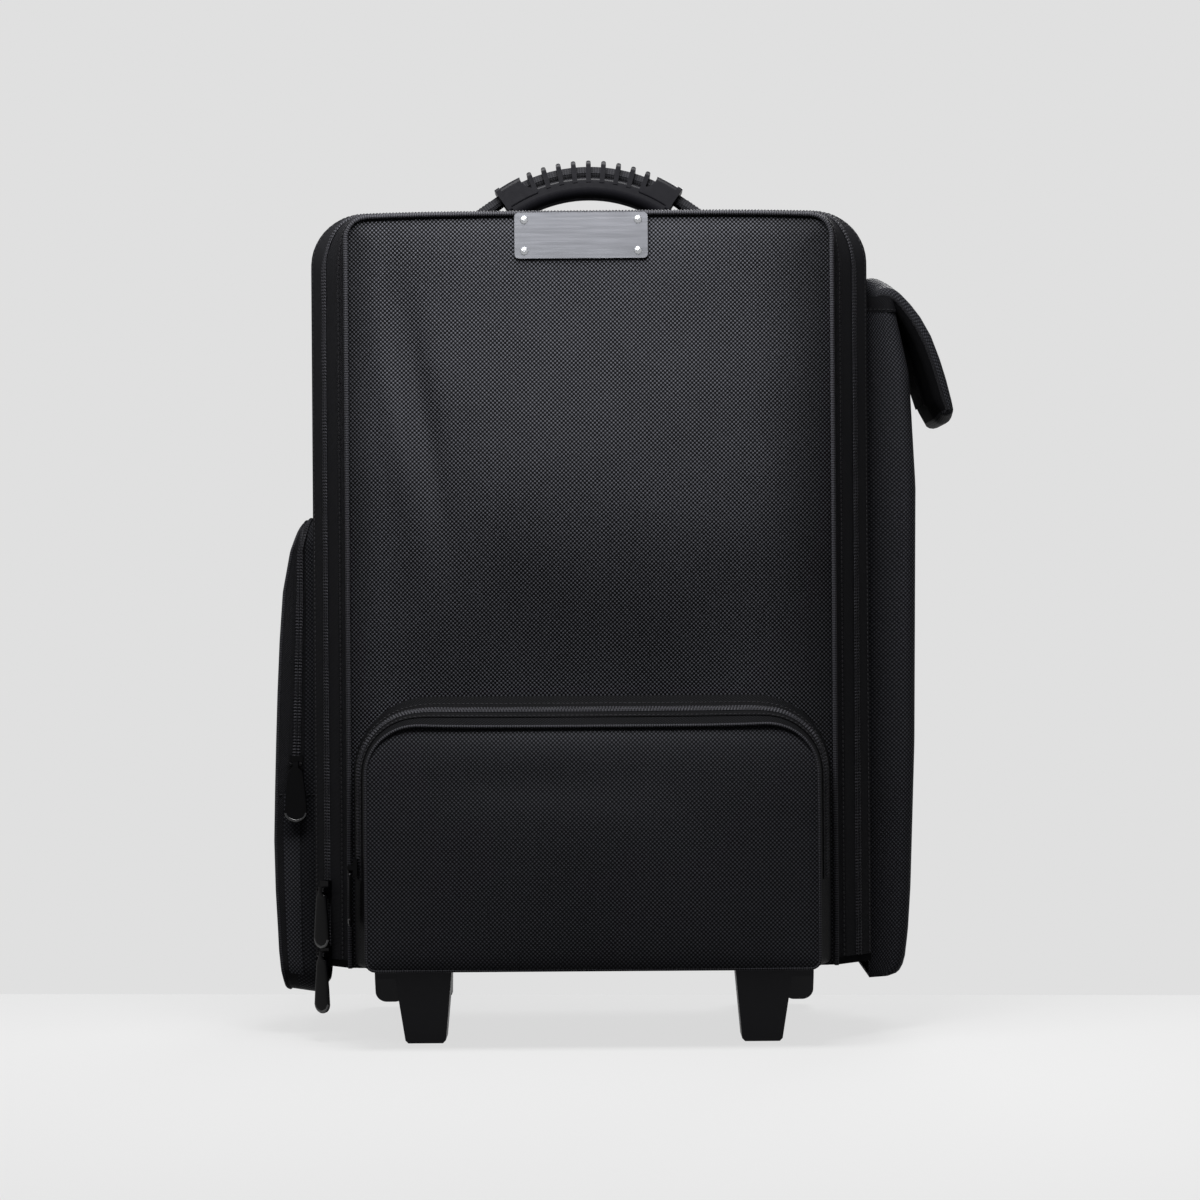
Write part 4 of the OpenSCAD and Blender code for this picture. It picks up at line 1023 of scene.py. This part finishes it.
def build_stage():
    """Pale floor that ends just behind the case, an even grey beyond it, soft lamps and the camera."""
    scene = bpy.context.scene
    far, side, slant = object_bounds()[1][1] + 48 * MM, 4.0, 0.27
    corners = np.array([[-side, -side, 0], [side, -side, 0], [side, far - slant, 0], [-side, far + slant, 0]])
    mesh = bpy.data.meshes.new("floor")
    mesh.from_pydata(corners.tolist(), [], [[0, 1, 2, 3]])
    shade = Shade("Studio floor", Specular_IOR_Level=0.1, Emission_Strength=1.0)
    drift = shade.noise(shade.spot(), 1.5, 1.0)
    shade.feed("Base Color", shade.mix(drift, shaded(look().floor, 0.1), shaded(look().floor, 0.11)))
    shade.feed("Emission Color", shade.mix(shade.in_view(), (0, 0, 0), shaded(look().floor, 0.82)))
    shade.feed("Roughness", 0.85 + drift * 0.1)
    mesh.materials.append(shade.material)
    floor = bpy.data.objects.new("floor", mesh)
    scene.collection.objects.link(floor)
    floor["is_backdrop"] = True

    world = bpy.data.worlds.new("Studio")
    world.use_nodes = True
    scene.world = world
    sky = Graph(world.node_tree)
    tone = sky.mix(sky.in_view(), (0.05, 0.051, 0.055), look().backdrop)
    sky.tree.links.new(tone.socket, sky.tree.nodes["Background"].inputs["Color"])

    for name, spot, aim, size, power in (
            ("Key", (-0.55, -0.5, 1.0), (-0.1, -0.1, 0.45), 0.3, 3),
            ("Top", (-0.04, -0.36, 0.98), (0, -0.1, 0.3), 0.4, 14),
            ("Fill", (1.9, -1.6, 0.9), (0, 0, 0.3), 1.5, 1.0),
            ("Back", (0.5, 1.6, 1.5), (0, 0.1, 0.3), 0.9, 26)):
        lamp = bpy.data.lights.new(name, "AREA")
        lamp.size, lamp.energy = size, power
        obj = bpy.data.objects.new(name, lamp)
        scene.collection.objects.link(obj)
        obj.location = spot
        obj.visible_camera = False
        away = np.array(spot) - np.array(aim)
        obj.rotation_euler = (math.atan2(math.hypot(away[0], away[1]), away[2]), 0,
                              math.atan2(away[1], away[0]) + math.pi / 2)

    camera = bpy.data.cameras.new("Camera")
    camera.lens, camera.sensor_width = 102.1, 36
    obj = bpy.data.objects.new("Camera", camera)
    scene.collection.objects.link(obj)
    obj.location = (-0.0104, -2.4005, 0.300)
    obj.rotation_euler = (math.pi / 2, math.radians(0.4), 0)
    scene.camera = obj
    scene.view_settings.view_transform = "Standard"


# Operators


class CASE_OT_body(bpy.types.Operator):
    """Dress the body: band, back, cords and boards"""

    bl_idname = "case.body"
    bl_label = "Body"

    def execute(self, context):
        build_body()
        return {"FINISHED"}


class CASE_OT_front_panel(bpy.types.Operator):
    """Dress the front panel and its plate"""

    bl_idname = "case.front_panel"
    bl_label = "Front panel"

    def execute(self, context):
        build_front_panel()
        return {"FINISHED"}


class CASE_OT_main_zip(bpy.types.Operator):
    """Make the main zip and the gusset beside it"""

    bl_idname = "case.main_zip"
    bl_label = "Main zip"

    def execute(self, context):
        build_main_zip()
        return {"FINISHED"}


class CASE_OT_front_pocket(bpy.types.Operator):
    """Make the front pocket with its zip"""

    bl_idname = "case.front_pocket"
    bl_label = "Front pocket"

    def execute(self, context):
        build_front_pocket()
        return {"FINISHED"}


class CASE_OT_left_pocket(bpy.types.Operator):
    """Make the left pocket with its zip"""

    bl_idname = "case.left_pocket"
    bl_label = "Left pocket"

    def execute(self, context):
        build_left_pocket()
        return {"FINISHED"}


class CASE_OT_right_pocket(bpy.types.Operator):
    """Make the right pocket and its padded flap"""

    bl_idname = "case.right_pocket"
    bl_label = "Right pocket"

    def execute(self, context):
        build_right_pocket()
        return {"FINISHED"}


class CASE_OT_handle(bpy.types.Operator):
    """Make the carry handle's strap and dress its grip"""

    bl_idname = "case.handle"
    bl_label = "Carry handle"

    def execute(self, context):
        build_handle()
        return {"FINISHED"}


class CASE_OT_pulls(bpy.types.Operator):
    """Make the zip pulls and dress the sliders"""

    bl_idname = "case.pulls"
    bl_label = "Zip pulls"

    def execute(self, context):
        build_pulls()
        return {"FINISHED"}


class CASE_OT_running_gear(bpy.types.Operator):
    """Dress the feet, wheels and housings"""

    bl_idname = "case.running_gear"
    bl_label = "Wheels and feet"

    def execute(self, context):
        build_running_gear()
        return {"FINISHED"}


class CASE_OT_trolley(bpy.types.Operator):
    """Dress the trolley"""

    bl_idname = "case.trolley"
    bl_label = "Trolley"

    def execute(self, context):
        build_trolley()
        return {"FINISHED"}


class CASE_OT_stage(bpy.types.Operator):
    """Set the floor, the light and the camera"""

    bl_idname = "case.stage"
    bl_label = "Stage"

    def execute(self, context):
        build_stage()
        return {"FINISHED"}


STEPS = (CASE_OT_body, CASE_OT_main_zip, CASE_OT_front_panel, CASE_OT_front_pocket, CASE_OT_left_pocket,
         CASE_OT_right_pocket, CASE_OT_handle, CASE_OT_pulls, CASE_OT_running_gear, CASE_OT_trolley, CASE_OT_stage)


class CASE_PT_panel(bpy.types.Panel):
    """Settings and steps of the makeup case"""

    bl_idname = "CASE_PT_panel"
    bl_label = "Makeup case"
    bl_space_type = "VIEW_3D"
    bl_region_type = "UI"
    bl_category = "Makeup case"

    def draw(self, context):
        for field in CaseLook.__annotations__:
            self.layout.prop(context.scene.case_look, field)
        for step in STEPS:
            self.layout.operator(step.bl_idname)


def register():
    """Registers the settings, the operators and the panel."""
    for cls in (CaseLook, *STEPS, CASE_PT_panel):
        bpy.utils.register_class(cls)
    bpy.types.Scene.case_look = PointerProperty(type=CaseLook)


def unregister():
    """Takes back what register did."""
    del bpy.types.Scene.case_look
    for cls in (CASE_PT_panel, *reversed(STEPS), CaseLook):
        bpy.utils.unregister_class(cls)


def main():
    """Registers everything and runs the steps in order."""
    register()
    for step in STEPS:
        group, name = step.bl_idname.split(".")
        getattr(getattr(bpy.ops, group), name)()


if __name__ == "__main__":
    main()
